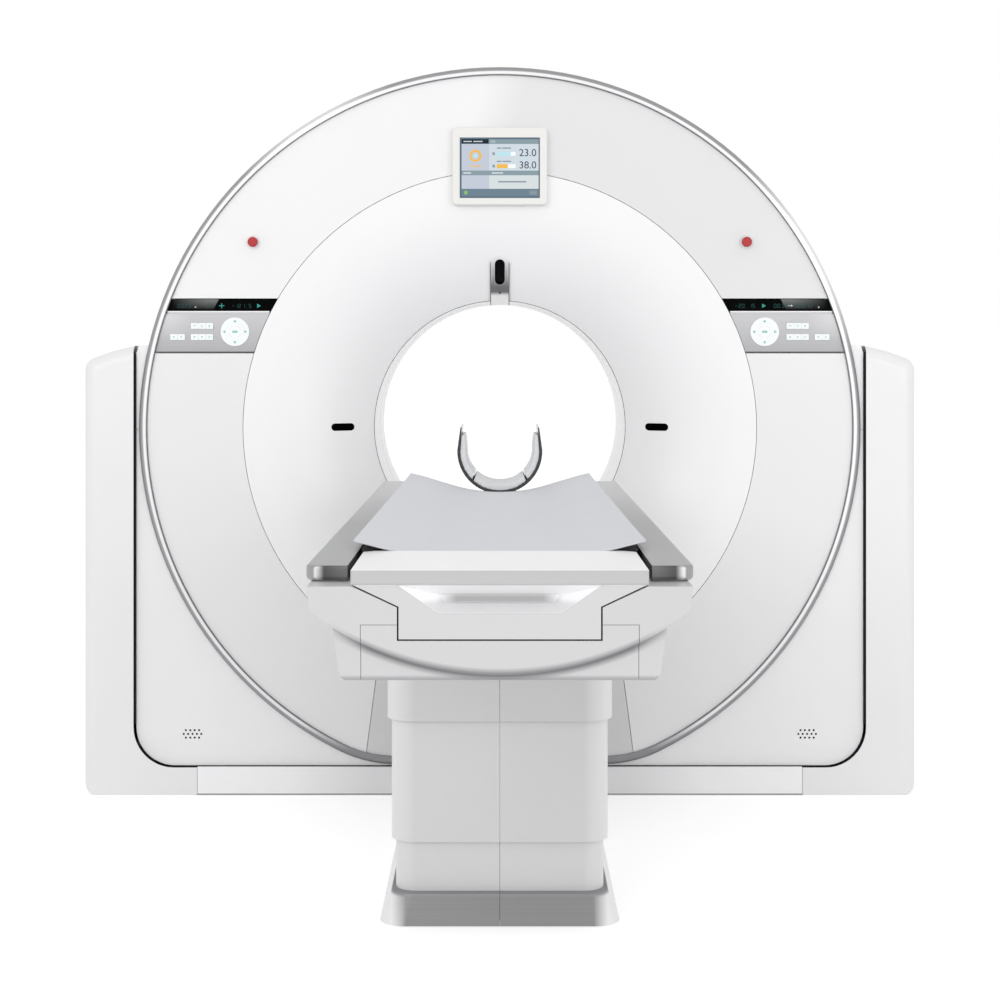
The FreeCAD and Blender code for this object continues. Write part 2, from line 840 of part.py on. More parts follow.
def grille_holes():
    """Thirteen holes in rows of four, five and four."""
    holes = []
    for row in (-1, 0, 1):
        count = 5 if row == 0 else 4
        for i in range(count):
            x = -s("grille_x") + s("grille_pitch") * (i - (count - 1) / 2)
            holes.append(circle(x, -s("grille_z") + s("grille_row") * row, s("grille_hole")))
    return holes


def make_lower_panels():
    """Lower side covers, left and right, each wrapping from front to rear."""
    body = make_body("lower_panels", at_iso=True)
    wall = s("side_wall")
    top = -s("iso_split") - SEAM / 2
    pad(body, "y", SIDE_FACE, -SIDE_FACE, side_outline(as_size(0), top, -SEAM / 2))
    cut(body, "y", SIDE_FACE + wall, -SIDE_FACE - wall, side_outline(wall, top + 1, as_size(1)))
    mouth = s("mouth_radius")
    step = COVER_EDGE - mouth
    cut(body, "y", SIDE_FACE - 1, -SIDE_FACE + 1,
        drum(mouth, COVER_FLOOR - step, COVER_BLEND - step))
    reach = s("side_half_width") + 1
    cut(body, "x", -reach, 0, circle(0, 0, s("trunnion_collar") + FIT))
    cut(body, "y", SIDE_FACE - 1, SIDE_FACE + wall + 1, *grille_holes())
    mirrored_pair("lower_panels", body)


# ------------------------------------------------------------------ controls and display
def make_display_bezel():
    body = make_body("display_bezel", at_iso=True)
    half = s("bezel_half_width")
    low = s("bezel_bottom")
    front = COVER_FACE - s("bezel_depth")
    pad(body, "y", front, COVER_FACE,
        box_outline(-half, half, low, low + s("bezel_high"), s("bezel_corner")))
    place = front.value
    soften(body, as_size(4), lambda edge: near(edge.BoundBox.YMax, place))
    screen = s("screen_half_width") + FIT
    bottom = s("screen_bottom") - FIT
    cut(body, "y", front - 1, front + s("screen_recess") + 3,
        box_outline(-screen, screen, bottom, bottom + s("screen_high") + FIT * 2))
    node(body)


def make_display_screen():
    body = make_body("display_screen", at_iso=True)
    half = s("screen_half_width")
    low = s("screen_bottom")
    front = COVER_FACE - s("bezel_depth") + s("screen_recess")
    pad(body, "y", front, front + 3, box_outline(-half, half, low, low + s("screen_high")))
    node(body)


def panel_sector(label, low, high):
    """Left-hand plate between the ring and the funnel seam, from one height to another."""
    body = make_body(label, at_iso=True)
    back = COVER_FACE + s("plate_thick")
    pad(body, "y", COVER_FACE, back, circle(0, 0, COVER_EDGE), circle(0, 0, FUNNEL_SEAM))
    edge = COVER_EDGE + 10
    cut(body, "y", COVER_FACE - 1, back + 1, box_outline(-edge, edge, high, edge))
    cut(body, "y", COVER_FACE - 1, back + 1, box_outline(-edge, edge, -edge, low))
    cut(body, "y", COVER_FACE - 1, back + 1, box_outline(0, edge, -edge, edge))
    return body


def make_display_strips():
    body = panel_sector("display_strips", s("strip_bottom"), s("panel_top") - SEAM)
    mirrored_pair("display_strips", body)


KEY_BLOCKS = (
    # block's middle, its height, and its keys from left to right
    ("upper", "key_x", "key_upper_z", "123"),
    ("lower", "key_x", "key_lower_z", "123"),
    ("pair", "key_pair_x", "key_lower_z", "12"),
)


def make_control_plates():
    body = panel_sector("control_plates", s("panel_bottom") + SEAM, s("plate_top"))
    back = COVER_FACE + s("plate_thick")
    cut(body, "y", COVER_FACE - 1, back + 1,
        circle(-s("pad_x"), s("pad_z"), s("pad_radius") + FIT))
    for name, x, z, keys in KEY_BLOCKS:
        half_wide = s("key_pitch") * len(keys) / 2 + FIT
        half_high = s("key_high") / 2 + FIT
        cut(body, "y", COVER_FACE - 1, back + 1,
            box_outline(-s(x) - half_wide, -s(x) + half_wide, s(z) - half_high, s(z) + half_high))
    mirrored_pair("control_plates", body)


def make_keys():
    """Key caps of both panels; every one is a node of its own."""
    front = COVER_FACE - s("key_proud")
    half_wide = s("key_pitch") / 2 - 0.2
    half_high = s("key_high") / 2
    for side_name, side in (("left", -1), ("right", 1)):
        for name, block_x, z, keys in KEY_BLOCKS:
            for i, key in enumerate(keys):
                x = s(block_x) * side + s("key_pitch") * (i - (len(keys) - 1) / 2)
                body = make_body("key_%s_%s_%s" % (side_name, name, key), at_iso=True)
                pad(body, "y", front, front + s("key_depth"),
                    box_outline(x - half_wide, x + half_wide, s(z) - half_high,
                                s(z) + half_high, as_size(1.5)))
                node(body)


def make_round_pads():
    front = COVER_FACE - s("key_proud")
    for side_name, side in (("left", -1), ("right", 1)):
        body = make_body("round_pad_%s" % side_name, at_iso=True)
        x = s("pad_x") * side
        pad(body, "y", front, front + s("key_depth"), circle(x, s("pad_z"), s("pad_radius")))
        groove = s("pad_radius") * 0.62
        cut(body, "y", front, front + 0.8, circle(x, s("pad_z"), groove + 1),
            circle(x, s("pad_z"), groove))
        node(body)


def make_emergency_stops():
    head_back = COVER_FACE - s("collar_high") - s("stop_gap")
    front = head_back - s("stop_head")
    for side_name, side in (("left", -1), ("right", 1)):
        body = make_body("emergency_stop_%s" % side_name, at_iso=True)
        x = s("stop_x") * side
        pad(body, "y", front, head_back, circle(x, s("stop_z"), s("stop_radius")))
        place = front.value
        soften(body, as_size(3), lambda edge: near(edge.BoundBox.YMax, place))
        pad(body, "y", head_back, SIDE_FACE, circle(x, s("stop_z"), s("stop_stem")))
        node(body)


# ------------------------------------------------------------------ tilting frame and rotor
def ring_of_holes(count, centre_radius, hole_radius, first=0.0):
    holes = []
    for i in range(count):
        angle = first + 2 * math.pi * i / count
        holes.append(circle(centre_radius * math.cos(angle), centre_radius * math.sin(angle),
                            hole_radius))
    return holes


def make_tilt_frame():
    """Cast ring that carries the bearing, with an arm and a trunnion on each side."""
    body = make_body("tilt_frame", at_iso=True)
    low = s("frame_y")
    high = low + s("frame_thick")
    outer = s("frame_outer")
    pad(body, "y", low, high, circle(0, 0, outer), circle(0, 0, s("frame_inner")))
    pad(body, "y", high, high + 90, circle(0, 0, outer), circle(0, 0, outer - 25))
    cut(body, "y", low - 1, high + 1, *ring_of_holes(12, outer - 130, s("frame_thick") * 1.7, 0.26))
    shell = s("side_half_width") - s("side_wall") - FIT
    for side in (-1, 1):
        inner_x = (outer - 10) * side
        outer_x = shell * side
        left = inner_x if side > 0 else outer_x
        right = outer_x if side > 0 else inner_x
        tall = s("arm_half_high")
        pad(body, "y", -s("arm_half_deep"), low + 20, box_outline(left, right, -tall, tall))
        wide = s("side_half_width")
        tip = PILLAR_INNER + 86
        collar = (shell, wide) if side > 0 else (-wide, -shell)
        pad(body, "x", collar[0], collar[1], circle(0, 0, s("trunnion_collar")))
        shaft = (wide, tip) if side > 0 else (-tip, -wide)
        pad(body, "x", shaft[0], shaft[1], circle(0, 0, s("trunnion_radius")))
    node(body)


def make_main_bearing():
    body = make_body("main_bearing", at_iso=True)
    back = s("frame_y")
    front = back - s("race_depth")
    inner = s("race_inner")
    outer = s("race_outer")
    turn(body, path((front, inner), (back, inner), (back, outer), (back - 12, outer),
                    (back - 12, outer - 8), (front + 6, outer - 8), (front, outer - 14)))
    node(body)


def make_rotor_ring():
    body = make_body("rotor_ring", at_iso=True)
    back = s("rotor_back")
    front = back - s("rotor_thick")
    hub = s("race_inner") - PLAY
    pad(body, "y", front, back, circle(0, 0, s("rotor_outer")), circle(0, 0, s("rotor_inner")))
    pad(body, "y", back, s("frame_y") - 2, circle(0, 0, hub), circle(0, 0, hub - 70))
    cut(body, "y", front - 1, back + 1,
        *ring_of_holes(12, s("rotor_outer") - 60, s("rotor_thick"), 0.26))
    node(body)


def make_xray_tube():
    """Tube housing with its heat exchanger and the collimator box under it."""
    body = make_body("xray_tube", at_iso=True)
    back = s("rotor_back") - s("rotor_thick")
    front = back - s("rotor_gear_depth")
    centre = s("tube_centre")
    radius = s("tube_radius")
    pad(body, "y", front, back, circle(0, centre, radius))
    place = front.value
    soften(body, as_size(18), lambda edge: near(edge.BoundBox.YMax, place))
    top = centre + radius
    pad(body, "y", back - 180, back, box_outline(-radius, radius, top - 30, top + 60))
    waist = centre - radius * 0.9
    box_top = centre - radius
    box_low = s("bore_radius") + 90
    pad(body, "y", back - 130, back,
        polygon((-40, waist + 30), (-40, waist), (-90, box_top - 20), (-90, box_low),
                (90, box_low), (90, box_top - 20), (40, waist), (40, waist + 30)))
    node(body)


def make_detector():
    """Arc of detector modules, centred on the tube's focus."""
    body = make_body("detector", at_iso=True)
    back = s("rotor_back") - s("rotor_thick")
    inner = s("detector_radius")
    outer = inner + s("detector_thick")
    angle = math.radians(s("detector_half_angle").value)
    wide = math.sin(angle)
    deep = math.cos(angle)
    focus = s("focus_height")
    pad(body, "y", back - 90, back,
        path((-inner * wide, focus - inner * deep), (-outer * wide, focus - outer * deep, outer, 1),
             (outer * wide, focus - outer * deep), (inner * wide, focus - inner * deep, inner, -1)))
    node(body)


def make_generators():
    body = make_body("high_voltage_units", at_iso=True)
    back = s("rotor_back") - s("rotor_thick")
    outer = s("rotor_outer") - 60
    pad(body, "y", back - 190, back, box_outline(-outer, -outer + 230, -130, 130, as_size(16)))
    for i in range(5):
        low = as_size(-110 + 48 * i)
        cut(body, "y", back - 191, back - 170, box_outline(-outer + 20, -outer + 210, low, low + 24))
    mirrored_pair("high_voltage_units", body)


# ------------------------------------------------------------------ stand and pillars
def make_stand_frame():
    """Floor plate with an upright on each side, welded as one, and a bearing in each upright."""
    body = make_body("stand_frame")
    edge_x = s("pillar_half_width") - s("pillar_round") - 3
    edge_y = s("ring_front") - s("pillar_wall") - FIT
    plate = s("floor_plate")
    pad(body, "z", as_size(0), plate, box_outline(-edge_x, edge_x, -edge_y, edge_y))
    iso = s("iso_height")
    foot = s("upright_foot")
    head = s("upright_head")
    top = s("upright_top")
    thick = s("upright_thick")
    for side in (-1, 1):
        low = s("upright_x") if side > 0 else -s("upright_x") - thick
        pad(body, "x", low, low + thick,
            polygon((-foot, plate), (foot, plate), (head, top), (-head, top)))
        outer = low + thick - 12 if side > 0 else low - 1
        cut(body, "x", outer, outer + 13,
            polygon((-foot + 60, plate + 40), (foot - 60, plate + 40), (head + 30, iso - 280),
                    (-head - 30, iso - 280)))
        boss = low - 5 if side > 0 else low - 8
        pad(body, "x", boss, boss + thick + 13, circle(0, iso, s("bearing_radius")))
        cut(body, "x", boss - 1, boss + thick + 14, circle(0, iso, s("trunnion_radius") + PLAY))
        for front in (-1, 1):
            cut(body, "z", as_size(0), plate,
                circle(s("anchor_x") * side, s("anchor_y") * front, s("anchor_hole")))
    node(body)


def make_tilt_gearmotor():
    """Hollow-shaft gearbox on the right trunnion, with its motor."""
    body = make_body("tilt_gearmotor")
    iso = s("iso_height")
    start = s("upright_x") + s("upright_thick") + 8
    end = start + 52
    pad(body, "x", start, end, box_outline(-85, 85, iso - 90, iso + 80, as_size(14)))
    cut(body, "x", start - 1, end + 1, circle(0, iso, s("trunnion_radius") + PLAY))
    pad(body, "y", as_size(84), as_size(270), circle(start + 27, iso - 62, as_size(25)))
    node(body)


def make_pillar_covers():
    """Side covers with a foot that reaches in under the tilting body."""
    body = make_body("pillar_outer")
    outer = s("pillar_half_width")
    inner = PILLAR_INNER
    foot = s("pillar_foot_x")
    foot_high = s("pillar_foot_high")
    top = s("iso_height") + s("shoulder_height")
    front = RING_FACE
    pad(body, "y", front, -front,
        polygon((-outer, 0), (-foot, 0), (-foot, foot_high),
                (-inner, foot_high, s("side_corner") + s("pillar_gap")),
                (-inner, top - s("shoulder_drop")), (-inner + s("shoulder_step"), top),
                (-inner - 62, top - 17, as_size(60)),
                (-outer, top - 44, s("pillar_round"))))
    round_upright_edges(body, -outer, s("pillar_round") - 3)
    toe = s("pillar_round")
    cut(body, "y", front - 1, -front + 1,
        path((-outer, toe, toe, 1), (-outer + toe, 0), (-outer + toe, -1), (-outer - 1, -1),
             (-outer - 1, toe)))
    wall = s("pillar_wall")
    cut(body, "x", -inner - wall - 1, -inner + 1,
        circle(0, s("iso_height"), s("trunnion_collar") + 4))
    core = make_body("pillar_core")
    pad(core, "y", front + wall, -front - wall,
        polygon((-outer + wall, wall, toe - wall), (-outer + toe + 2, wall),
                (-outer + toe + 2, -1), (-inner - wall, -1), (-inner - wall, top - 34),
                (-inner - 62, top - 47), (-outer + wall, top - 44 - s("pillar_round"))))
    round_upright_edges(core, -outer + wall, s("pillar_round") - 3 - wall)
    channel = s("floor_plate") + FIT
    pad(core, "y", front + wall, -front - wall,
        polygon((-inner - wall - 1, -1), (-foot + 1, -1), (-foot + 1, foot_high * 3),
                (-inner, foot_high * 3), (-inner, channel), (-inner - wall - 1, channel)))
    pad(core, "y", front + wall, -front - wall,
        box_outline(-inner, -inner + s("shoulder_step") + 1, top - s("shoulder_drop") - 5, top + 5))
    mirrored_pair("pillar_covers", boolean("Cut", "pillar_shell", body, core))


def round_upright_edges(body, place, radius):
    """Rounds the long upright edges in the side plane at that place along X."""
    x = place.value
    soften(body, radius, lambda edge: near(edge.BoundBox.XMin, x)
           and near(edge.BoundBox.XMax, x)
           and edge.BoundBox.ZLength > edge.BoundBox.YLength)


def make_base_strips():
    body = make_body("base_strips")
    reach = s("pillar_foot_x") - SEAM
    back = RING_FACE + s("pillar_wall")
    front = back - s("strip_depth")
    pad(body, "x", -reach, reach,
        polygon((front, s("strip_toe")), (back, s("strip_toe")), (back, s("strip_top")),
                (front, s("strip_top"), as_size(2))))
    mirrored_pair("base_strips", body, Vector(0, 1, 0))


# ------------------------------------------------------------------ table column
COLUMN_Y = -s("column_y")
TUBE_MIDDLE = s("tube_outer") - s("tube_step") * 2
TUBE_INNER = TUBE_MIDDLE - s("tube_step") * 2


def square(side, centre=COLUMN_Y):
    half = as_size(side) / 2
    return box_outline(-half, half, centre - half, centre + half)


def sleeve_outline(step, inward=0):
    """Outline of a column sleeve, so many steps out from the lowest one."""
    grow = s("stage_step") * step - inward
    half = s("lower_half_width") + grow
    deep = s("lower_half_depth") + grow
    return box_outline(-half, half, COLUMN_Y - deep, COLUMN_Y + deep, s("lower_corner") + grow)


def half_sleeve(step):
    """Section of the left half of a column sleeve."""
    grow = s("stage_step") * step
    wall = s("stage_wall")
    half = s("lower_half_width") + grow
    deep = s("lower_half_depth") + grow
    bend = s("lower_corner") + grow
    gap = -SEAM / 4
    return polygon((gap, COLUMN_Y - deep), (-half, COLUMN_Y - deep, bend),
                   (-half, COLUMN_Y + deep, bend), (gap, COLUMN_Y + deep),
                   (gap, COLUMN_Y + deep - wall), (-half + wall, COLUMN_Y + deep - wall, bend - wall),
                   (-half + wall, COLUMN_Y - deep + wall, bend - wall), (gap, COLUMN_Y - deep + wall))


def make_table_base():
    """Floor plate of the table with the fixed column tube and its lift motor."""
    body = make_body("table_base")
    half = s("lower_half_width") + 5
    front = COLUMN_Y - s("lower_half_depth") - 10
    back = RING_FACE - s("strip_depth") + s("pillar_wall") - 8
    plate = s("base_plate")
    pad(body, "z", as_size(0), plate, box_outline(-half, half, front, back))
    tube = s("tube_outer")
    wall = s("tube_wall")
    top = s("tube_outer_top")
    pad(body, "z", plate, top, square(tube), square(tube - wall * 2))
    pad(body, "z", top - 30, top, square(tube - wall), square(TUBE_MIDDLE + FIT * 2))
    pad(body, "z", plate, as_size(230), circle(0, COLUMN_Y - 210, as_size(48)))
    for x in (-185, 185):
        for y in (-270, 270):
            cut(body, "z", as_size(0), plate, circle(x, COLUMN_Y + y, as_size(7)))
    node(body)


def make_foot_skirts():
    """Flared metal skirt round the table's foot, in two halves."""
    body = make_body("foot_skirts")
    low_half = s("foot_half_width")
    flare = s("foot_flare")
    front = -s("foot_front")
    back = RING_FACE - s("strip_depth") + s("pillar_wall") - FIT
    high = s("foot_high")
    gap = -SEAM / 4
    loft(body, "z", as_size(0), high,
         polygon((gap, front), (-low_half, front, as_size(55)), (-low_half, back), (gap, back)),
         polygon((gap, front + flare * 1.2), (-low_half + flare, front + flare * 1.2, as_size(45)),
                 (-low_half + flare, back), (gap, back)))
    wall = s("foot_wall")
    low = front + wall
    high_low = front + flare * 1.2 + wall
    loft(body, "z", as_size(0), high - wall,
         polygon((1, low), (-low_half + wall, low, 55 - wall), (-low_half + wall, back + 1),
                 (1, back + 1)),
         polygon((1, high_low), (-low_half + flare + wall, high_low, 45 - wall),
                 (-low_half + flare + wall, back + 1), (1, back + 1)), "Subtractive")
    half = s("lower_half_width") + FIT
    deep = s("lower_half_depth") + FIT
    bend = s("lower_corner") + FIT
    cut(body, "z", high - s("foot_wall") - 1, high + 1,
        polygon((1, COLUMN_Y - deep), (-half, COLUMN_Y - deep, bend),
                (-half, COLUMN_Y + deep, bend), (1, COLUMN_Y + deep)))
    mirrored_pair("foot_skirts", body)


def make_lower_stage_covers():
    body = make_body("lower_stage_covers")
    pad(body, "z", s("base_plate"), s("lower_top"), half_sleeve(0))
    mirrored_pair("lower_stage_covers", body)


def make_middle_stage():
    """Middle sleeve of the column with its top plate and the middle lift tube."""
    body = make_body("middle_stage")
    top = s("middle_top")
    plate = top - 6
    wall = s("stage_wall")
    pad(body, "z", s("middle_bottom"), plate, sleeve_outline(1), sleeve_outline(1, wall))
    pad(body, "z", plate, top, sleeve_outline(1), square(TUBE_INNER + FIT * 2))
    pad(body, "z", s("tube_middle_bottom"), plate, square(TUBE_MIDDLE),
        square(TUBE_MIDDLE - s("tube_wall") * 2))
    deep = s("lower_half_depth") + s("stage_step")
    for place in (COLUMN_Y - deep, COLUMN_Y + deep):
        cut(body, "z", s("middle_bottom") - 1, top + 1,
            box_outline(-SEAM / 3, SEAM / 3, place - 1.5, place + 1.5))
    node(body)


def make_upper_stage_covers():
    body = make_body("upper_stage_covers")
    pad(body, "z", s("upper_bottom"), s("box_bottom"), half_sleeve(2))
    mirrored_pair("upper_stage_covers", body)


# ------------------------------------------------------------------ table top
HULL_FACE = -s("hull_front")
HULL_END = -s("hull_back")
TROUGH_TOP = s("trough_shoulder") - 1
CAP_FACE = HULL_FACE - s("cap_overhang")
CRADLE_FRONT = -s("cap_back") + FIT


def make_table_chassis():
    """Extruded trough with side beams on the inner lift tube."""
    body = make_body("table_chassis")
    floor = s("trough_floor")
    plate = floor - 12
    half = s("trough_half_width")
    wall = s("trough_wall")
    inset = s("hull_wall") + FIT
    pad(body, "y", HULL_FACE + inset, HULL_END - inset,
        polygon((-half - wall, floor), (half + wall, floor), (half + wall, TROUGH_TOP),
                (half, TROUGH_TOP), (half, floor + wall), (-half, floor + wall),
                (-half, TROUGH_TOP), (-half - wall, TROUGH_TOP)))
    deep = s("lower_half_depth") + 10
    beam = half + wall + 6
    pad(body, "z", plate, floor, box_outline(-beam - 40, beam + 40, COLUMN_Y - deep, COLUMN_Y + deep))
    for x in (-beam - 40, beam):
        pad(body, "y", HULL_FACE + 76, HULL_END - 22, box_outline(x, x + 40, floor, floor + 40))
    pad(body, "z", s("tube_inner_bottom"), plate, square(TUBE_INNER),
        square(TUBE_INNER - s("tube_wall") * 2))
    node(body)


def arc_radius(half_chord, rise):
    """Radius of the arc over a chord, from half the chord and the rise."""
    return (half_chord * half_chord + rise * rise) / (rise * 2)


def hull_outline(inset):
    edge = s("hull_edge_half") - inset
    edge_z = s("hull_edge_z") + inset * 0.5
    lip = s("hull_lip") + inset
    curve = arc_radius(edge, edge_z - lip)
    bilge = s("hull_bilge_half") - inset * 1.2
    bilge_z = s("hull_bilge_z") + inset * 0.5
    top = s("hull_top") + 2 - inset
    top_half = s("hull_top_half") - inset * 1.1
    return path((-edge, edge_z, curve, 1), (edge, edge_z), (bilge, bilge_z), (top_half, top),
                (-top_half, top), (-bilge, bilge_z))


def tub_box_outline(inset):
    top = s("box_half_top") - inset
    low = s("box_half_bottom") - inset
    bottom = s("box_bottom") + inset
    high = s("hull_edge_z") + 5 + inset / 5
    bend = s("box_corner") - inset
    return polygon((-top, high), (-low, bottom, bend), (low, bottom, bend), (top, high))


DECK = s("hull_top") + 2


def make_tub_and_service_cover():
    """Moulded tub round the chassis; its front cover is cut out along a narrow seam."""
    tub = make_body("tub_moulding")
    wall = s("hull_wall")
    box_face = HULL_FACE + s("box_setback")
    pad(tub, "y", HULL_FACE, HULL_END, hull_outline(as_size(0)))
    pad(tub, "y", box_face, HULL_END, tub_box_outline(as_size(0)))
    cut(tub, "y", HULL_FACE + wall, HULL_END - wall, hull_outline(wall))
    cut(tub, "y", box_face + wall, HULL_END - wall, tub_box_outline(wall))
    trough = s("trough_half_width")
    knee = s("mouth_knee")
    lip = TROUGH_TOP + FIT
    for side in (-1, 1):
        pad(tub, "y", HULL_FACE, HULL_END,
            polygon((knee * side + 7 * side, DECK), (knee * side, DECK), (trough * side, lip),
                    (trough * side + 7 * side, lip)))
    bottom = s("trough_floor") + s("trough_wall") + FIT
    cut(tub, "y", HULL_FACE - 1, HULL_END + 1,
        polygon((-knee, DECK + 1), (-knee, DECK), (-trough, lip), (-trough, bottom),
                (trough, bottom), (trough, lip), (knee, DECK), (knee, DECK + 1)))
    grow = s("stage_step") + 2
    half = s("lower_half_width") + grow
    deep = s("lower_half_depth") + grow
    cut(tub, "z", s("box_bottom") - 1, s("box_bottom") + wall + 1,
        box_outline(-half, half, COLUMN_Y - deep, COLUMN_Y + deep, s("lower_corner") + grow))
    blocks = []
    for name, gap in (("service_block", as_size(0)), ("service_seam", SEAM / 2)):
        block = make_body(name)
        pad(block, "y", HULL_FACE - 10, box_face + 40 + gap,
            box_outline(-s("service_half_width") - gap, s("service_half_width") + gap,
                        s("box_bottom") - 20, s("service_top") + gap))
        blocks.append(block)
    cover = boolean("Common", "tub_service_cover", tub, blocks[0])
    shell = boolean("Cut", "table_tub", tub, blocks[1])
    node(shell)
    node(cover)


def make_table_rails():
    body = make_body("table_rails")
    outer = s("rail_outer")
    pad(body, "y", -s("rail_front"), -s("rail_back"),
        box_outline(-outer, -s("rail_inner"), DECK, s("rail_top")))
    limit = -outer.value
    front = -s("rail_front").value
    soften(body, as_size(24), lambda edge: near(edge.BoundBox.XMax, limit)
           and near(edge.BoundBox.YMax, front))
    low = DECK.value
    high = s("rail_top").value
    soften(body, as_size(8), lambda edge: near(edge.BoundBox.XMax, limit)
           and near(edge.BoundBox.ZMax, low))
    soften(body, as_size(5), lambda edge: near(edge.BoundBox.XMax, limit)
           and near(edge.BoundBox.ZMin, high))
    mirrored_pair("table_rails", body)


def handle_section(top_half, low_half, high, low):
    return polygon((-top_half, high), (-low_half, low), (low_half, low), (top_half, high))


def make_end_cap():
    """End piece of the cradle: a white lip over a block with the hand recess."""
    body = make_body("end_cap")
    half = s("cap_half_width")
    lip = DECK + s("cap_gap")
    back = -s("cap_back")
    pad(body, "y", CAP_FACE, back, box_outline(-half, half, lip, s("cap_top")))
    gap = s("cap_gap")
    trough = s("trough_half_width") - gap
    knee = s("mouth_knee") - gap / 2
    shoulder = TROUGH_TOP + FIT + gap * 0.6
    bottom = s("trough_floor") + s("trough_wall") + FIT + gap
    pad(body, "y", HULL_FACE, back,
        polygon((-knee, lip), (-trough, shoulder), (-trough, bottom), (trough, bottom),
                (trough, shoulder), (knee, lip)))
    place = back.value
    soften(body, as_size(18), lambda edge: near(edge.BoundBox.YMin, place)
           and near(abs(edge.BoundBox.XMin), half) and near(edge.BoundBox.XLength, 0),
           "Chamfer")
    front = CAP_FACE.value
    soften(body, as_size(3), lambda edge: near(edge.BoundBox.YMax, front))
    loft(body, "y", HULL_FACE, HULL_FACE + 34,
         handle_section(as_size(156.5), as_size(93.5), lip, lip - 43.5),
         handle_section(as_size(92), as_size(84), lip - 19, lip - 30), "Subtractive")
    node(body)


def crescent(half, edge_z, rise, thick, edge_thick):
    """Section of a shallow shell, hollow side up."""
    top_curve = arc_radius(half, rise)
    low_rise = rise + thick - edge_thick
    low_curve = arc_radius(half, low_rise)
    return path((-half, edge_z - edge_thick, low_curve, 1), (half, edge_z - edge_thick),
                (half, edge_z, top_curve, -1), (-half, edge_z))


def make_cradle_shell():
    body = make_body("cradle_shell")
    sag = s("cradle_sag")
    edge = s("cradle_edge")
    thick = s("cradle_thick")
    loft(body, "y", CRADLE_FRONT, -s("mat_back"),
         crescent(s("cradle_half_front"), edge, sag, thick, as_size(3)),
         crescent(s("cradle_half_back"), edge, sag, thick, as_size(3)))
    node(body)


def mat_section(half, edge_z, knee_z):
    """Mat section: a trough that rests on the cradle, with a thin wing on each side."""
    knee = s("mat_knee")
    under = knee_z - 6
    rest = s("cradle_edge") - s("cradle_sag") + FIT * 2
    low_curve = arc_radius(knee, under - rest)
    top_curve = arc_radius(knee, knee_z - rest - 14)
    return path((-half, edge_z - 3), (-knee, under, low_curve, 1), (knee, under),
                (half, edge_z - 3), (half, edge_z), (knee, knee_z, top_curve, -1),
                (-knee, knee_z), (-half, edge_z))


def make_mat():
    body = make_body("mat")
    top = s("rail_top")
    loft(body, "y", CRADLE_FRONT + 1, -s("mat_back"),
         mat_section(s("mat_half_front"), top + 17, top - 9),
         mat_section(s("mat_half_back"), top + 20.5, top - 9.5))
    node(body)


def make_carriage():
    """Slide under the cradle's foot end, running in the trough."""
    block = make_body("carriage_block")
    front = CRADLE_FRONT
    back = CRADLE_FRONT + s("carriage_length")
    floor = s("trough_floor") + s("trough_wall") + FIT
    half = s("trough_half_width") - FIT
    pad(block, "y", front, back,
        polygon((-half, floor), (half, floor), (half, floor + 26), (110, floor + 38),
                (110, floor + 70), (-110, floor + 70), (-110, floor + 38), (-half, floor + 26)))
    cut(block, "z", floor + 10, floor + 71, box_outline(-85, 85, front + 40, back - 40, as_size(12)))
    room = make_body("carriage_room")
    low_front = s("cradle_edge") - s("cradle_sag") - s("cradle_thick")
    pieces = []
    for half_wide in (s("cradle_half_front"), s("cradle_half_back")):
        rise = s("cradle_sag") + s("cradle_thick") - 3
        pieces.append(path((-half_wide, low_front + rise, arc_radius(half_wide, rise), 1),
                           (half_wide, low_front + rise), (half_wide, low_front + 200),
                           (-half_wide, low_front + 200)))
    loft(room, "y", CRADLE_FRONT, -s("mat_back"), pieces[0], pieces[1])
    node(boolean("Cut", "carriage", block, room))


# ------------------------------------------------------------------ head holder
def cup_section(half, bottom, wall, tip, tip_half, tip_wall):
    """U section: half a round below, arms that lean in and get thinner above."""
    bend = half - 0.5
    knee = bottom + half + 2
    inner = half - wall
    return polygon((-tip_half, tip), (-half, knee), (-half, bottom, bend), (half, bottom, bend),
                   (half, knee), (tip_half, tip), (tip_half - tip_wall, tip), (inner, knee),
                   (inner, bottom + wall, bend - wall), (-inner, bottom + wall, bend - wall),
                   (-inner, knee), (-tip_half + tip_wall, tip))


def make_head_holder():
    body = make_body("head_holder")
    half = s("holder_half_width")
    bottom = s("holder_bottom")
    wall = s("holder_wall")
    pad(body, "y", -s("holder_front"), -s("holder_back"),
        cup_section(half, bottom, wall, s("holder_tip"), half - 8, wall / 2))
    tongue = s("tongue_half_width")
    pad(body, "y", -s("mat_back") + FIT, -s("holder_back") - 60,
        box_outline(-tongue, tongue, bottom - 22, bottom + wall - 1))
    node(body)


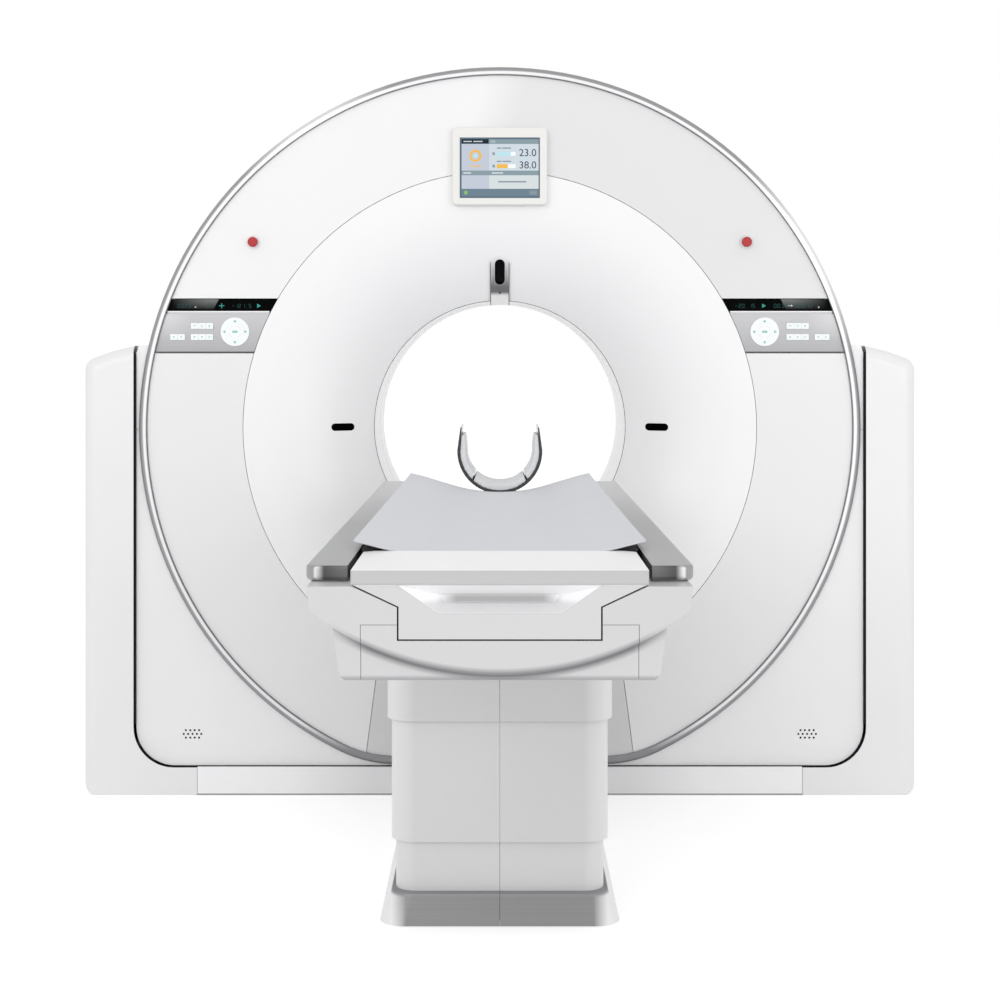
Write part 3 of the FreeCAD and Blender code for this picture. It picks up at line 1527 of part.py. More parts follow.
def make_head_pads():
    """Three soft pads that line the head holder, parted along two slanted seams."""
    gap = s("holder_wall") + FIT
    half = s("holder_half_width") - gap
    bottom = s("holder_bottom") + gap
    low = s("holder_bottom") - 5
    turn_z = s("holder_bottom") + 85
    top = s("holder_tip")
    low_x = s("holder_half_width") - 21.3
    turn_x = s("holder_half_width") - 63.9
    step = SEAM / 2
    left = polygon((-120, low), (-low_x - step, low), (-turn_x - step, turn_z),
                   (-turn_x - step, top), (-120, top))
    centre = polygon((-low_x + step, low), (low_x - step, low), (turn_x - step, turn_z),
                     (-turn_x + step, turn_z))
    right = polygon((low_x + step, low), (120, low), (120, top), (turn_x + step, top),
                    (turn_x + step, turn_z))
    pieces = []
    for name, room in (("left", left), ("centre", centre), ("right", right)):
        band = make_body("head_pad_" + name)
        pad(band, "y", -s("holder_front") + 4, -s("holder_back") - 4,
            cup_section(half, bottom, as_size(14), top - 19, half - 3.4, as_size(8)))
        keep = make_body("head_pad_%s_room" % name)
        pad(keep, "y", -s("holder_front"), -s("holder_back"), room)
        pieces.append(boolean("Common", "pad_" + name, band, keep))
    group = doc.addObject("Part::Compound", "head_pads")
    group.Links = pieces
    doc.recompute()
    node(group, "head_pads")


# ------------------------------------------------------------------ build, check, write
def build():
    make_stand_frame()
    make_tilt_gearmotor()
    make_pillar_covers()
    make_base_strips()
    make_table_base()
    make_foot_skirts()
    make_lower_stage_covers()
    make_middle_stage()
    make_upper_stage_covers()
    make_table_chassis()
    make_tub_and_service_cover()
    make_table_rails()
    make_cradle_shell()
    make_mat()
    make_end_cap()
    make_carriage()
    make_head_holder()
    make_head_pads()
    make_tilt_frame()
    make_main_bearing()
    make_ring_trim()
    make_front_cover_upper()
    make_front_cover_lower()
    make_bottom_access_panel()
    make_front_funnel()
    make_bore_liner()
    make_rear_cover()
    make_arch_cover()
    make_lower_panels()
    make_display_bezel()
    make_display_screen()
    make_window_bracket()
    make_laser_windows()
    make_display_strips()
    make_control_plates()
    make_keys()
    make_round_pads()
    make_emergency_stops()
    make_rotor_ring()
    make_xray_tube()
    make_detector()
    make_generators()


def check():
    """Every object has recomputed and every sub-part is a sound solid."""
    doc.recompute()
    faults = [thing.Label for thing in doc.Objects
              if "Invalid" in thing.State or "Error" in thing.State]
    for thing in NODES:
        shape = thing.Shape
        if shape.isNull() or not shape.isValid() or not shape.Solids:
            faults.append("shape of " + thing.Label)
    if faults:
        raise RuntimeError("not built: " + ", ".join(faults))


def write():
    os.makedirs("parts", exist_ok=True)
    for thing in NODES:
        thing.Shape.exportStep("parts/%s.step" % thing.Label)
        print("%-28s %d solid(s) %12.0f mm3" % (thing.Label, len(thing.Shape.Solids),
                                                thing.Shape.Volume))


build()
check()
write()
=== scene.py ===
import math

import bmesh
import bpy
from mathutils import Matrix, Vector


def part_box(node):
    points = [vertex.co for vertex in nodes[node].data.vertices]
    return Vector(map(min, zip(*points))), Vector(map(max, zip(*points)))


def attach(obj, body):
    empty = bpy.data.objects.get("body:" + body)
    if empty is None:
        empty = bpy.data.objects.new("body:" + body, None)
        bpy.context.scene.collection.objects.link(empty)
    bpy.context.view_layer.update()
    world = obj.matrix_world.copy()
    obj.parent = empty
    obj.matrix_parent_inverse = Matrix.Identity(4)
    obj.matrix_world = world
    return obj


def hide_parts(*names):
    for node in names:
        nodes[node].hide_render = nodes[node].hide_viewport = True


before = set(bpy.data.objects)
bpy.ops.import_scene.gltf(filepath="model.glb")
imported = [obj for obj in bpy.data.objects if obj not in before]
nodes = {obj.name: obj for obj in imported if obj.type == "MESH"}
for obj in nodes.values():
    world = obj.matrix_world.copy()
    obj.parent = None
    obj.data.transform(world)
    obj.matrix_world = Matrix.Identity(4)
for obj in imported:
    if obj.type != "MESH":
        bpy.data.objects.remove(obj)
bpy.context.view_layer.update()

MM = 0.001
ISO = 1.0                  # height of the bore's axis
PRINT = 0.0002             # thickness of printed marks and lit segments
LAID = Matrix.Rotation(math.pi / 2, 4, "X")     # lays what stands along Z along Y, facing the couch


# ------------------------------------------------------------------ materials
def linear(code):
    """sRGB hex value as linear light."""
    levels = [int(code[i:i + 2], 16) / 255 for i in (1, 3, 5)]
    return [*(v / 12.92 if v <= 0.04045 else ((v + 0.055) / 1.055) ** 2.4 for v in levels), 1.0]


def add(tree, kind, inputs=None, **settings):
    """Adds a node with its settings; inputs are values or the sockets to link."""
    made = tree.nodes.new("ShaderNode" + kind)
    for name, value in settings.items():
        setattr(made, name, value)
    for name, value in (inputs or {}).items():
        if isinstance(value, bpy.types.NodeSocket):
            tree.links.new(value, made.inputs[name])
        else:
            made.inputs[name].default_value = value
    return made.outputs


def finish(name, colour, roughness, **sockets):
    """A material whose shader has these constants, with its tree, shader and coordinates."""
    material = bpy.data.materials.new(name)
    material.use_nodes = True
    tree = material.node_tree
    shader = tree.nodes["Principled BSDF"]
    shader.inputs["Base Color"].default_value = linear(colour)
    shader.inputs["Roughness"].default_value = roughness
    for socket, value in sockets.items():
        shader.inputs[socket.replace("_", " ")].default_value = value
    return material, tree, shader, add(tree, "TexCoord")["Object"]


def paint(tree, under, over, *masks):
    """One colour, and over it another where all the masks are. A mask is a socket, a number, or a
    distance with the two places, in metres, where it begins and where it is full."""
    whole = None
    for mask in masks:
        if isinstance(mask, tuple):
            distance, begins, full = mask
            mask = add(tree, "MapRange", {"Value": distance, "From Min": begins, "From Max": full})[0]
        whole = mask if whole is None else add(tree, "Math", {0: whole, 1: mask}, operation="MULTIPLY")[0]
    colours = {key: linear(tone) if isinstance(tone, str) else tone for key, tone in ((6, under), (7, over))}
    return add(tree, "Mix", {"Factor": whole, **colours}, data_type="RGBA")[2]


def across(tree, place):
    """Distances from the middle plane, along the bore and above the floor."""
    x, y, z = add(tree, "SeparateXYZ", {0: place})
    return add(tree, "Math", {0: x}, operation="ABSOLUTE")[0], y, z


def relief(tree, shader, place, size, height):
    """Fine relief of that size and height in metres."""
    scaled = add(tree, "Mapping", {"Vector": place, "Scale": [1 / size] * 3})[0]
    noise = add(tree, "TexNoise", {"Vector": scaled, "Scale": 1.0, "Detail": 2.0})["Fac"]
    bump = add(tree, "Bump", {"Height": noise, "Distance": height, "Strength": 1.0})
    tree.links.new(bump["Normal"], shader.inputs["Normal"])


def enamel(name, colour, shade, roughness=0.38):
    """Satin two-pack paint on moulded covers: smooth, with a faint orange peel about 4 mm across,
    a trace of unevenness in tone over half a metre, and patches that wiping has polished."""
    material, tree, shader, place = finish(name, colour, roughness, IOR=1.5, Coat_Weight=0.15,
                                           Coat_Roughness=0.2)
    relief(tree, shader, place, 4 * MM, 0.02 * MM)
    drift = add(tree, "TexNoise", {"Vector": place, "Scale": 2.0, "Detail": 1.0})["Fac"]
    tone = paint(tree, colour, shade, drift)
    wiped = add(tree, "TexNoise", {"Vector": place, "Scale": 9.0, "Detail": 3.0})["Fac"]
    gloss = add(tree, "MapRange", {"Value": wiped, "From Min": 0.35, "From Max": 0.7,
                                   "To Min": roughness - 0.05, "To Max": roughness + 0.06})[0]
    tree.links.new(gloss, shader.inputs["Roughness"])
    tree.links.new(tone, shader.inputs["Base Color"])
    return material, tree, shader, place, tone


def brushed(name, light, dark, axis, roughness=0.34):
    """Brushed aluminium or steel: hairlines a fraction of a millimetre wide, drawn 1 mm wide so
    that they show, side by side along the given axis."""
    material, tree, shader, place = finish(name, light, roughness, Metallic=0.75)
    lines = [1 / (1 * MM) if each == axis else 1 / 0.4 for each in "xyz"]
    scaled = add(tree, "Mapping", {"Vector": place, "Scale": lines})[0]
    noise = add(tree, "TexNoise", {"Vector": scaled, "Scale": 1.0, "Detail": 3.0})["Fac"]
    tone = paint(tree, dark, light, noise)
    tree.links.new(tone, shader.inputs["Base Color"])
    bump = add(tree, "Bump", {"Height": noise, "Distance": 0.02 * MM, "Strength": 0.6})
    tree.links.new(bump["Normal"], shader.inputs["Normal"])
    return material, tree, shader, place, tone


def moulded(name, colour, roughness, **sockets):
    """Injection-moulded plastic with a fine spark-eroded grain, 1.2 mm across."""
    material, tree, shader, place = finish(name, colour, roughness, IOR=1.49, **sockets)
    relief(tree, shader, place, 1.2 * MM, 0.02 * MM)
    return material


def backlit(name, colour):
    """A lit patch of a display behind satin glass: it gives its own light."""
    material, tree, shader, place = finish(name, "#000000", 0.3, Specular_IOR_Level=0.1,
                                           Emission_Strength=1.0)
    # liquid-crystal cells, 0.3 mm apart, drawn 2 mm apart so that they show
    cells = add(tree, "TexWave", {"Vector": place, "Scale": 160.0}, bands_direction="X")["Fac"]
    tree.links.new(paint(tree, colour, "#000000", cells, 0.04), shader.inputs["Emission Color"])
    return material


# The photograph's soft reflections and shades are set as tones below, by their place on the object.
def pillar_paint():
    """White enamel, with painted shade: a black band just inside the slots' mouths, where the photograph is black.
    """
    material, tree, shader, place, tone = enamel("satin_white_pillar_enamel", "#ECECED", "#E8E8E9")
    x, y, z = across(tree, place)
    depth = add(tree, "Math", {0: y}, operation="ABSOLUTE")[0]
    # painted shade: black just inside the slots' mouths, where shade falls in the slots
    tone = paint(tree, tone, "#070708", (x, 0.9994, 0.9992), (depth, 0.3475, 0.3465),
                 (depth, 0.2900, 0.2910), (z, 0.0745, 0.0755))
    tree.links.new(tone, shader.inputs["Base Color"])
    return material


def ring_metal():
    """Turned aluminium ring, with painted light: a lighter inner band and a darker rolled outer edge, as light
    falls on them, and a painted shadow line at the joint. The photograph's long highlights are painted highlights,
    and its darker flat by the floor is painted shade."""
    material, tree, shader, place = finish("turned_aluminium_ring", "#C8C8C9", 0.36, Metallic=0.35)
    x, y, z = across(tree, place)
    up = add(tree, "Math", {0: z, 1: ISO}, operation="SUBTRACT")[0]
    # reach: distance from the axis, and round the bends, of that radius, beside the flat
    flat_x, flat_z, bend = 0.28385, 0.568, 0.635
    from_axis = add(tree, "CombineXYZ", {0: x, 1: up})[0]
    round_reach = add(tree, "VectorMath", {0: from_axis}, operation="LENGTH")["Value"]
    past = add(tree, "Math", {0: x, 1: flat_x}, operation="SUBTRACT")[0]
    past = add(tree, "Math", {0: past, 1: 0.0}, operation="MAXIMUM")[0]
    under = add(tree, "Math", {0: up, 1: flat_z}, operation="ADD")[0]
    from_bend = add(tree, "CombineXYZ", {0: past, 1: under})[0]
    flat_reach = add(tree, "VectorMath", {0: from_bend}, operation="LENGTH")["Value"]
    flat_reach = add(tree, "Math", {0: flat_reach, 1: bend}, operation="ADD")[0]
    side = add(tree, "VectorMath", {0: from_axis, 1: (flat_z, flat_x, 0)}, operation="DOT_PRODUCT")["Value"]
    upper = add(tree, "Math", {0: side, 1: 0.0}, operation="GREATER_THAN")[0]
    reach = add(tree, "Mix", {"Factor": upper, 2: flat_reach, 3: round_reach}, data_type="FLOAT")[0]
    # painted light: the inner band lighter, the rolled outer edge darker
    tone = paint(tree, "#E2E2E3", "#949496", (reach, 0.9715, 0.9745))
    # painted shade: a dark line at the joint
    tone = paint(tree, tone, "#6A6A6C", (reach, 0.9660, 0.9636))
    sideways = add(tree, "SeparateXYZ", {0: place})[0]
    angle = add(tree, "Math", {0: up, 1: sideways}, operation="ARCTAN2")[0]
    # painted highlights: two long streaks round the ring
    for middle, half, amount in ((0.52, 0.30, 0.75), (2.12, 0.24, 0.6)):
        away = add(tree, "Math", {0: angle, 1: middle}, operation="SUBTRACT")[0]
        away = add(tree, "Math", {0: away}, operation="ABSOLUTE")[0]
        tone = paint(tree, tone, "#F6F6F6", (away, half, half * 0.3), (reach, 0.9632, 0.9645), amount)
    # painted shade on the flat by the floor
    tone = paint(tree, tone, "#868688", (up, -0.80, -0.88))
    tree.links.new(tone, shader.inputs["Base Color"])
    # turning marks, 1.5 mm apart so that they show
    phase = add(tree, "Math", {0: reach, 1: 4200.0}, operation="MULTIPLY")[0]
    marks = add(tree, "Math", {0: phase}, operation="SINE")[0]
    bump = add(tree, "Bump", {"Height": marks, "Distance": 0.01 * MM, "Strength": 0.5})
    tree.links.new(bump["Normal"], shader.inputs["Normal"])
    return material


def skirt_metal():
    """Brushed stainless foot; the bright reflections where it turns its corners are set as a tone."""
    material, tree, shader, place, tone = brushed("brushed_stainless_skirt", "#909091", "#7C7C7D", "z", 0.42)
    x, y, z = across(tree, place)
    tone = paint(tree, tone, "#EAEAEB", (x, 0.198, 0.228))
    tone = paint(tree, tone, "#8C8C8E", (z, 0.052, 0.058))
    tree.links.new(tone, shader.inputs["Base Color"])
    shader.inputs["Metallic"].default_value = 0.3
    return material


def rail_finish():
    """Brushed aluminium side rails, with painted light: a painted highlight and painted shade on their front ends,
    and a painted reflection that lightens their tops towards the back.
    """
    material, tree, shader, place, tone = brushed("brushed_aluminium_rails", "#9C9C9D", "#929293", "x")
    x, y, z = across(tree, place)
    # painted highlight and painted shade across the rails' front ends
    end = paint(tree, "#F4F4F5", "#4A4A4B", (x, 0.288, 0.270))
    end = paint(tree, end, "#6A6A6B", (x, 0.266, 0.240))
    # painted reflection: the tops lighter towards the back
    tone = paint(tree, tone, "#C0C0C1", (y, -1.9, -1.1))
    tone = paint(tree, tone, end, (y, -2.611, -2.6125))
    # painted shade: the inner faces stand in a seam that the photograph shows black
    tone = paint(tree, tone, "#060606", (x, 0.2338, 0.2333))
    tree.links.new(tone, shader.inputs["Base Color"])
    shader.inputs["Metallic"].default_value = 0.3
    return material


def cap_finish():
    """Moulded white end cap; its lip, its block and its hand recess carry painted shade, in the photograph's greys.
    """
    material, tree, shader, place, tone = enamel("moulded_white_asa", "#F8F8F9", "#F4F4F5", 0.35)
    x, y, z = across(tree, place)
    # painted shade on the lip, the lower slope of the recess, the block and the depth of the recess
    tone = paint(tree, tone, "#B7B7B8", (y, -2.6775, -2.6785), (z, 0.8515, 0.8525))
    tone = paint(tree, tone, "#DEDEDF", (y, -2.6745, -2.6725), (z, 0.8290, 0.8220), (x, 0.165, 0.155))
    tone = paint(tree, tone, "#C9C9CA", (y, -2.6735, -2.6755), (z, 0.8525, 0.8515))
    tone = paint(tree, tone, "#A6A6A7", (y, -2.658, -2.648), (x, 0.096, 0.066), (z, 0.8375, 0.8310),
                 (z, 0.8205, 0.8240))
    tree.links.new(tone, shader.inputs["Base Color"])
    return material


def tub_finish():
    """Grey enamel tub, with painted shade along the arc of its hull and along its lower edge."""
    material, tree, shader, place, tone = enamel("light_grey_tub_enamel", "#C8C8C9", "#C3C3C4")
    x, y, z = across(tree, place)
    arc_middle = 1.2231          # height of the point that the hull's arc turns about
    up = add(tree, "Math", {0: z, 1: arc_middle}, operation="SUBTRACT")[0]
    spot = add(tree, "CombineXYZ", {0: x, 1: up})[0]
    reach = add(tree, "VectorMath", {0: spot}, operation="LENGTH")["Value"]
    # painted shade along the tub's lower edge
    tone = paint(tree, tone, "#9C9C9E", (y, -2.30, -2.40), (z, 0.7160, 0.7100))
    # painted shade along the arc of the hull, where it meets the box
    tone = paint(tree, tone, "#7E7E80", (y, -2.655, -2.664), (reach, 0.4955, 0.5040),
                 (reach, 0.5180, 0.5085), (x, 0.262, 0.20))
    tree.links.new(tone, shader.inputs["Base Color"])
    return material


def column_finish(name, colour, shade):
    """Grey enamel of the lifting column; the soft light on its rounded corners is set as a tone."""
    material, tree, shader, place, tone = enamel(name, colour, shade)
    x, y, z = across(tree, place)
    tree.links.new(paint(tree, tone, "#F2F2F3", (x, 0.180, 0.226), 0.55), shader.inputs["Base Color"])
    return material


def upper_finish():
    """White enamel of the upper front cover; the soft shade over its right-hand half is set as a tone."""
    material, tree, shader, place, tone = enamel("satin_upper_cover_enamel", "#F0F0F1", "#ECECED")
    x, y, z = add(tree, "SeparateXYZ", {0: place})
    slant = add(tree, "Math", {0: z, 1: -0.35, 2: x}, operation="MULTIPLY_ADD")[0]
    tree.links.new(paint(tree, tone, "#E0E0E1", (slant, -0.72, -0.60)), shader.inputs["Base Color"])
    return material


def sill_finish():
    """White enamel of the strips by the floor; the shade near the column is set as a tone."""
    material, tree, shader, place, tone = enamel("satin_sill_enamel", "#F8F8F9", "#F4F4F5")
    x, y, z = across(tree, place)
    tree.links.new(paint(tree, tone, "#E2E2E3", (x, 0.56, 0.34)), shader.inputs["Base Color"])
    return material


def plate_finish():
    """Silver-painted panel with painted light, lighter at its top edge and outer top corner, and a faint horizontal
    brushing.
    """
    material, tree, shader, place = finish("silver_painted_abs", "#C4C4C6", 0.42, Metallic=0.15)
    x, y, z = across(tree, place)
    scaled = add(tree, "Mapping", {"Vector": place, "Scale": (3, 3, 260)})[0]
    noise = add(tree, "TexNoise", {"Vector": scaled, "Scale": 1.0, "Detail": 3.0})["Fac"]
    # painted light: lighter at the top edge, darker towards the bottom
    tone = paint(tree, "#BCBCBE", "#A0A0A2", (z, 1.300, 1.206))
    # painted highlight at the outer top corner
    tone = paint(tree, tone, "#D4D4D5", (x, 0.84, 0.93), (z, 1.24, 1.30))
    tone = paint(tree, tone, "#D2D2D3", noise, 0.25)
    tone = paint(tree, tone, "#68686A", (z, 1.2092, 1.2078))
    tree.links.new(tone, shader.inputs["Base Color"])
    return material


def strip_finish():
    """Smoked acrylic with a coating against reflections, and a painted reflection over its outer half."""
    material, tree, shader, place = finish("smoked_black_acrylic", "#020303", 0.3, Specular_IOR_Level=0.02)
    x, y, z = across(tree, place)
    slant = add(tree, "Math", {0: z, 1: 0.53, 2: x}, operation="MULTIPLY_ADD")[0]
    # painted reflection over the outer half
    tone = paint(tree, "#020303", "#7E8080", (slant, 1.4815, 1.4835), (z, 1.322, 1.353), (x, 0.895, 0.80))
    tree.links.new(tone, shader.inputs["Base Color"])
    return material


def bracket_finish():
    """Polished aluminium bracket: drawn lines 10 mm apart up its arms, a dark band under the window
    and a white lip."""
    material, tree, shader, place = finish("polished_aluminium_bracket", "#C8C8C9", 0.3, Metallic=0.3)
    x, y, z = across(tree, place)
    phase = add(tree, "Math", {0: x, 1: 620.0}, operation="MULTIPLY")[0]
    lines = add(tree, "Math", {0: phase}, operation="SINE")[0]
    tone = paint(tree, "#B4B4B6", "#CECECF", (lines, -1.0, 1.0))
    tone = paint(tree, tone, "#F4F4F4", (z, 1.430, 1.462))
    tone = paint(tree, tone, "#78787A", (z, 1.424, 1.388))
    tone = paint(tree, tone, "#FAFAFA", (z, 1.374, 1.364))
    tone = paint(tree, tone, "#6C6C6E", (x, 0.0238, 0.0250))
    tree.links.new(tone, shader.inputs["Base Color"])
    return material


def vinyl(name, colour, shade):
    """Welded vinyl over foam: a leather-like grain 1.5 mm across and soft creases over a hand's width."""
    material, tree, shader, place = finish(name, colour, 0.48, IOR=1.5, Sheen_Weight=0.15, Sheen_Roughness=0.5)
    fine = add(tree, "Mapping", {"Vector": place, "Scale": [1 / (1.5 * MM)] * 3})[0]
    cells = add(tree, "TexVoronoi", {"Vector": fine, "Scale": 1.0})["Distance"]
    creases = add(tree, "TexNoise", {"Vector": place, "Scale": 7.0, "Detail": 2.0, "Distortion": 0.4})["Fac"]
    low = add(tree, "Bump", {"Height": creases, "Distance": 0.8 * MM, "Strength": 0.35})["Normal"]
    bump = add(tree, "Bump", {"Height": cells, "Distance": 0.05 * MM, "Strength": 0.7, "Normal": low})
    tree.links.new(bump["Normal"], shader.inputs["Normal"])
    tree.links.new(paint(tree, colour, shade, creases), shader.inputs["Base Color"])
    return material


def carbon_weave():
    """Carbon fibre laminate under clear resin: a twill of 2 mm tows, drawn coarser, as squares of
    8 mm at 45 degrees, so that it shows."""
    material, tree, shader, place = finish("carbon_fibre_laminate", "#232427", 0.28, Coat_Weight=0.5,
                                           Coat_Roughness=0.08)
    scaled = add(tree, "Mapping", {"Vector": place, "Scale": [1 / (8 * MM)] * 3, "Rotation": (0, 0, 0.785)})[0]
    tows = add(tree, "TexChecker", {"Vector": scaled, "Scale": 1.0, "Color1": linear("#1A1B1D"),
                                    "Color2": linear("#2E3033")})
    tree.links.new(tows["Color"], shader.inputs["Base Color"])
    return material


def wear(node, material):
    """Gives a CAD node its finish."""
    mesh = nodes[node].data
    for index in range(len(mesh.materials)):
        mesh.materials[index] = material
    if not mesh.materials:
        mesh.materials.append(material)


key_plastic = moulded("white_silicone_keys", "#F4F7F7", 0.5)
dark_seal = moulded("black_epdm_seal", "#060607", 0.6, Specular_IOR_Level=0.2)
grey_seal = moulded("grey_rubber_seal", "#2C2D2F", 0.6)
light_strip = moulded("white_acrylic_trim", "#FAFAFA", 0.25)
silver_bar = moulded("silver_painted_bar", "#CCCCCE", 0.42)
teal_print = moulded("teal_printed_marks", "#8FC7C0", 0.5)
pale_print = moulded("pale_printed_lines", "#D9CFCF", 0.5)
mat_vinyl = vinyl("pale_grey_vinyl", "#D0D1D6", "#CBCCD1")
pad_vinyl = vinyl("light_grey_foam_vinyl", "#E2E3E4", "#DADBDD")
dim_teal = backlit("dim_teal_segments", "#2C5C58")
lit_teal = backlit("teal_symbols", "#3F9C93")
lit_white = backlit("pale_symbols", "#C9D6D4")

FINISHES = {
    enamel("satin_white_enamel", "#F4F4F5", "#EFEFF0")[0]: ("rear_cover", "arch_cover"),
    pillar_paint(): ("pillar_covers",),
    enamel("satin_side_cover_enamel", "#F1F1F2", "#ECECED")[0]: ("lower_panels",),
    sill_finish(): ("base_strips",),
    upper_finish(): ("front_cover_upper",),
    enamel("satin_lower_cover_enamel", "#EAEAEB", "#E6E6E7")[0]: ("front_cover_lower",),
    enamel("satin_access_cover_enamel", "#D8D8D9", "#D2D2D3")[0]: ("bottom_access_panel",),
    enamel("thermoformed_white_abs", "#F3F3F4", "#F0F0F1", 0.42)[0]: ("front_funnel",),
    # one grey enamel on the column's stages, darker towards the top: painted shade under the tub
    column_finish("column_enamel_deepest_painted_shade", "#C8C8C9", "#C2C2C3"): ("upper_stage_covers",),
    column_finish("column_enamel_painted_shade", "#CFCFD0", "#C9C9CA"): ("middle_stage",),
    column_finish("column_enamel_least_painted_shade", "#D1D1D2", "#CBCBCC"): ("lower_stage_covers",),
    tub_finish(): ("table_tub", "tub_service_cover"),
    cap_finish(): ("end_cap",),
    # painted light: a trace of glow, though the liner is no lamp: the photograph's bore is evenly white to its far
    # end
    moulded("translucent_white_polycarbonate", "#F2F2F3", 0.4, Emission_Color=(1, 1, 1, 1),
            Emission_Strength=0.05): ("bore_liner",),
    plate_finish(): ("control_plates",),
    strip_finish(): ("display_strips",),
    moulded("smoked_window_glass", "#020203", 0.1, Specular_IOR_Level=0.12): ("laser_windows",),
    bracket_finish(): ("window_bracket",),
    moulded("white_abs_bezel", "#E8E7E4", 0.36): ("display_bezel",),
    dark_seal: ("display_screen",),
    moulded("glossy_red_abs", "#AE0D12", 0.3): ("emergency_stop_left", "emergency_stop_right"),
    carbon_weave(): ("cradle_shell", "head_holder"),
    moulded("powder_coated_steel", "#5C6064", 0.6): ("stand_frame", "table_base", "table_chassis", "carriage"),
    moulded("painted_cast_iron", "#8A8F94", 0.55): ("tilt_frame", "tilt_gearmotor", "rotor_ring", "xray_tube",
                                                    "detector", "high_voltage_units"),
    brushed("ground_bearing_steel", "#B4B6B8", "#8C8F92", "y")[0]: ("main_bearing",),
    rail_finish(): ("table_rails",),
    skirt_metal(): ("foot_skirts",),
    ring_metal(): ("ring_trim",),
    key_plastic: [name for name in nodes if name.startswith(("key_", "round_pad_"))],
}
for material, names in FINISHES.items():
    for name in names:
        wear(name, material)


# ------------------------------------------------------------------ pieces
def piece(name, shape, material, body):
    """Turns a bmesh into a piece that rides on a body."""
    mesh = bpy.data.meshes.new(name)
    shape.to_mesh(mesh)
    shape.free()
    made = bpy.data.objects.new(name, mesh)
    bpy.context.scene.collection.objects.link(made)
    for one in (material if isinstance(material, (list, tuple)) else [material]):
        mesh.materials.append(one)
    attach(made, body)
    return made


def about(middle, half):
    """The pair of coordinates at that distance on either side."""
    return middle - half, middle + half


def slab(shape, x, y, z, edge=0.0, index=0, lean=0.0):
    """A plate between those pairs of coordinates, bevelled or leaning over sideways."""
    size = [b - a for a, b in (x, y, z)]
    middle = [(a + b) / 2 for a, b in (x, y, z)]
    place = Matrix.LocRotScale(Vector(middle), None, Vector(size))
    made = bmesh.ops.create_cube(shape, size=1.0, matrix=place)["verts"]
    for vert in made:
        vert.co.x += lean * (vert.co.z - middle[2])
    for face in {face for vert in made for face in vert.link_faces}:
        face.material_index = index
    if edge:
        edges = {line for vert in made for line in vert.link_edges}
        bmesh.ops.bevel(shape, geom=list(edges), offset=edge, offset_type="OFFSET", affect="EDGES",
                        segments=2, profile=0.5, material=-1)


def mark(shape, x, z, y, index=0, lean=0.0):
    """A flat printed or lit patch that stands out from the plane y."""
    slab(shape, x, (y - PRINT, y), z, index=index, lean=lean)


def band(shape, inner, outer, front, back, height=ISO, middle=0.0, steps=96, index=0, sweep=math.tau, start=0.0):
    """A flat ring, or a part of one, about an axis along Y."""
    turned = Matrix.Rotation(-start, 3, "Y")
    corners = [shape.verts.new(turned @ Vector((r, y, 0)) + Vector((middle, 0, height))) for r, y in
               ((inner, front), (outer, front), (outer, back), (inner, back))]
    face = shape.faces.new(corners)
    face.material_index = index
    whole = sweep >= math.tau - 1e-6
    bmesh.ops.spin(shape, geom=[face, *corners, *face.edges], cent=(middle, 0, height), axis=(0, -1, 0),
                   angle=sweep, steps=steps, use_merge=whole)
    if whole:
        bmesh.ops.delete(shape, geom=[face], context="FACES_ONLY")
        bmesh.ops.remove_doubles(shape, verts=shape.verts, dist=1e-7)


def arrow(shape, x, z, y, high, way, index=0):
    """A flat three-cornered pointer; way is the angle that it points at."""
    turned = Matrix.Rotation(way - math.pi / 2, 4, "Y").inverted()
    place = Matrix.Translation((x, y - PRINT / 2, z)) @ turned @ LAID
    made = bmesh.ops.create_cone(shape, cap_ends=True, segments=3, radius1=high * 0.6, radius2=high * 0.6,
                                 depth=PRINT, matrix=place)
    for face in {face for vert in made["verts"] for face in vert.link_faces}:
        face.material_index = index


def tidy(shape):
    """Turns all faces outwards."""
    bmesh.ops.recalc_face_normals(shape, faces=shape.faces)
    return shape


SEGMENTS = {"0": "abcdef", "1": "bc", "2": "abged", "3": "abgcd", "4": "fgbc", "5": "afgcd", "6": "afgedc",
            "7": "abc", "8": "abcdefg", "9": "abcdfg", "-": "g", ".": "p"}


def segment_digits(shape, text, x, z, y, high, pitch):
    """Digits of a seven-segment readout, from their left end."""
    wide, bar = pitch * 0.62, high * 0.1
    upright, level, point = (bar, high / 2 * 0.8), (wide * 0.85, bar), (bar, bar)
    spots = {"a": (0, high, level), "g": (0, 0, level), "d": (0, -high, level), "p": (0, -high, point),
             "f": (-wide, high / 2, upright), "b": (wide, high / 2, upright),
             "e": (-wide, -high / 2, upright), "c": (wide, -high / 2, upright)}
    for i, letter in enumerate(text):
        for segment in SEGMENTS[letter]:
            dx, dz, size = spots[segment]
            mark(shape, about(x + pitch * i + dx / 2, size[0] / 2), about(z + dz / 2, size[1] / 2), y)


def numerals(shape, text, x, z, y, high, index):
    """Plain figures of that height, centred, standing on z."""
    curve = bpy.data.curves.new("numerals", "FONT")
    curve.body = text
    curve.align_x = "CENTER"
    curve.size = high / 0.69           # a figure's share of the font's size
    curve.extrude = 0.0001
    made = bpy.data.objects.new("numerals", curve)
    bpy.context.scene.collection.objects.link(made)
    mesh = bpy.data.meshes.new_from_object(made.evaluated_get(bpy.context.evaluated_depsgraph_get()))
    mesh.transform(Matrix.Translation((x, y, z)) @ LAID)
    bpy.data.objects.remove(made)
    before = set(shape.faces)
    shape.from_mesh(mesh)
    for face in shape.faces:
        if face not in before:
            face.material_index = index


def bore_edge_seal():
    """Thin grey rubber lip where the funnel meets the bore tube."""
    shape = bmesh.new()
    band(shape, 0.3500, 0.3514, -0.2164, -0.2151)
    piece("bore_edge_seal", tidy(shape), grey_seal, "gantry")


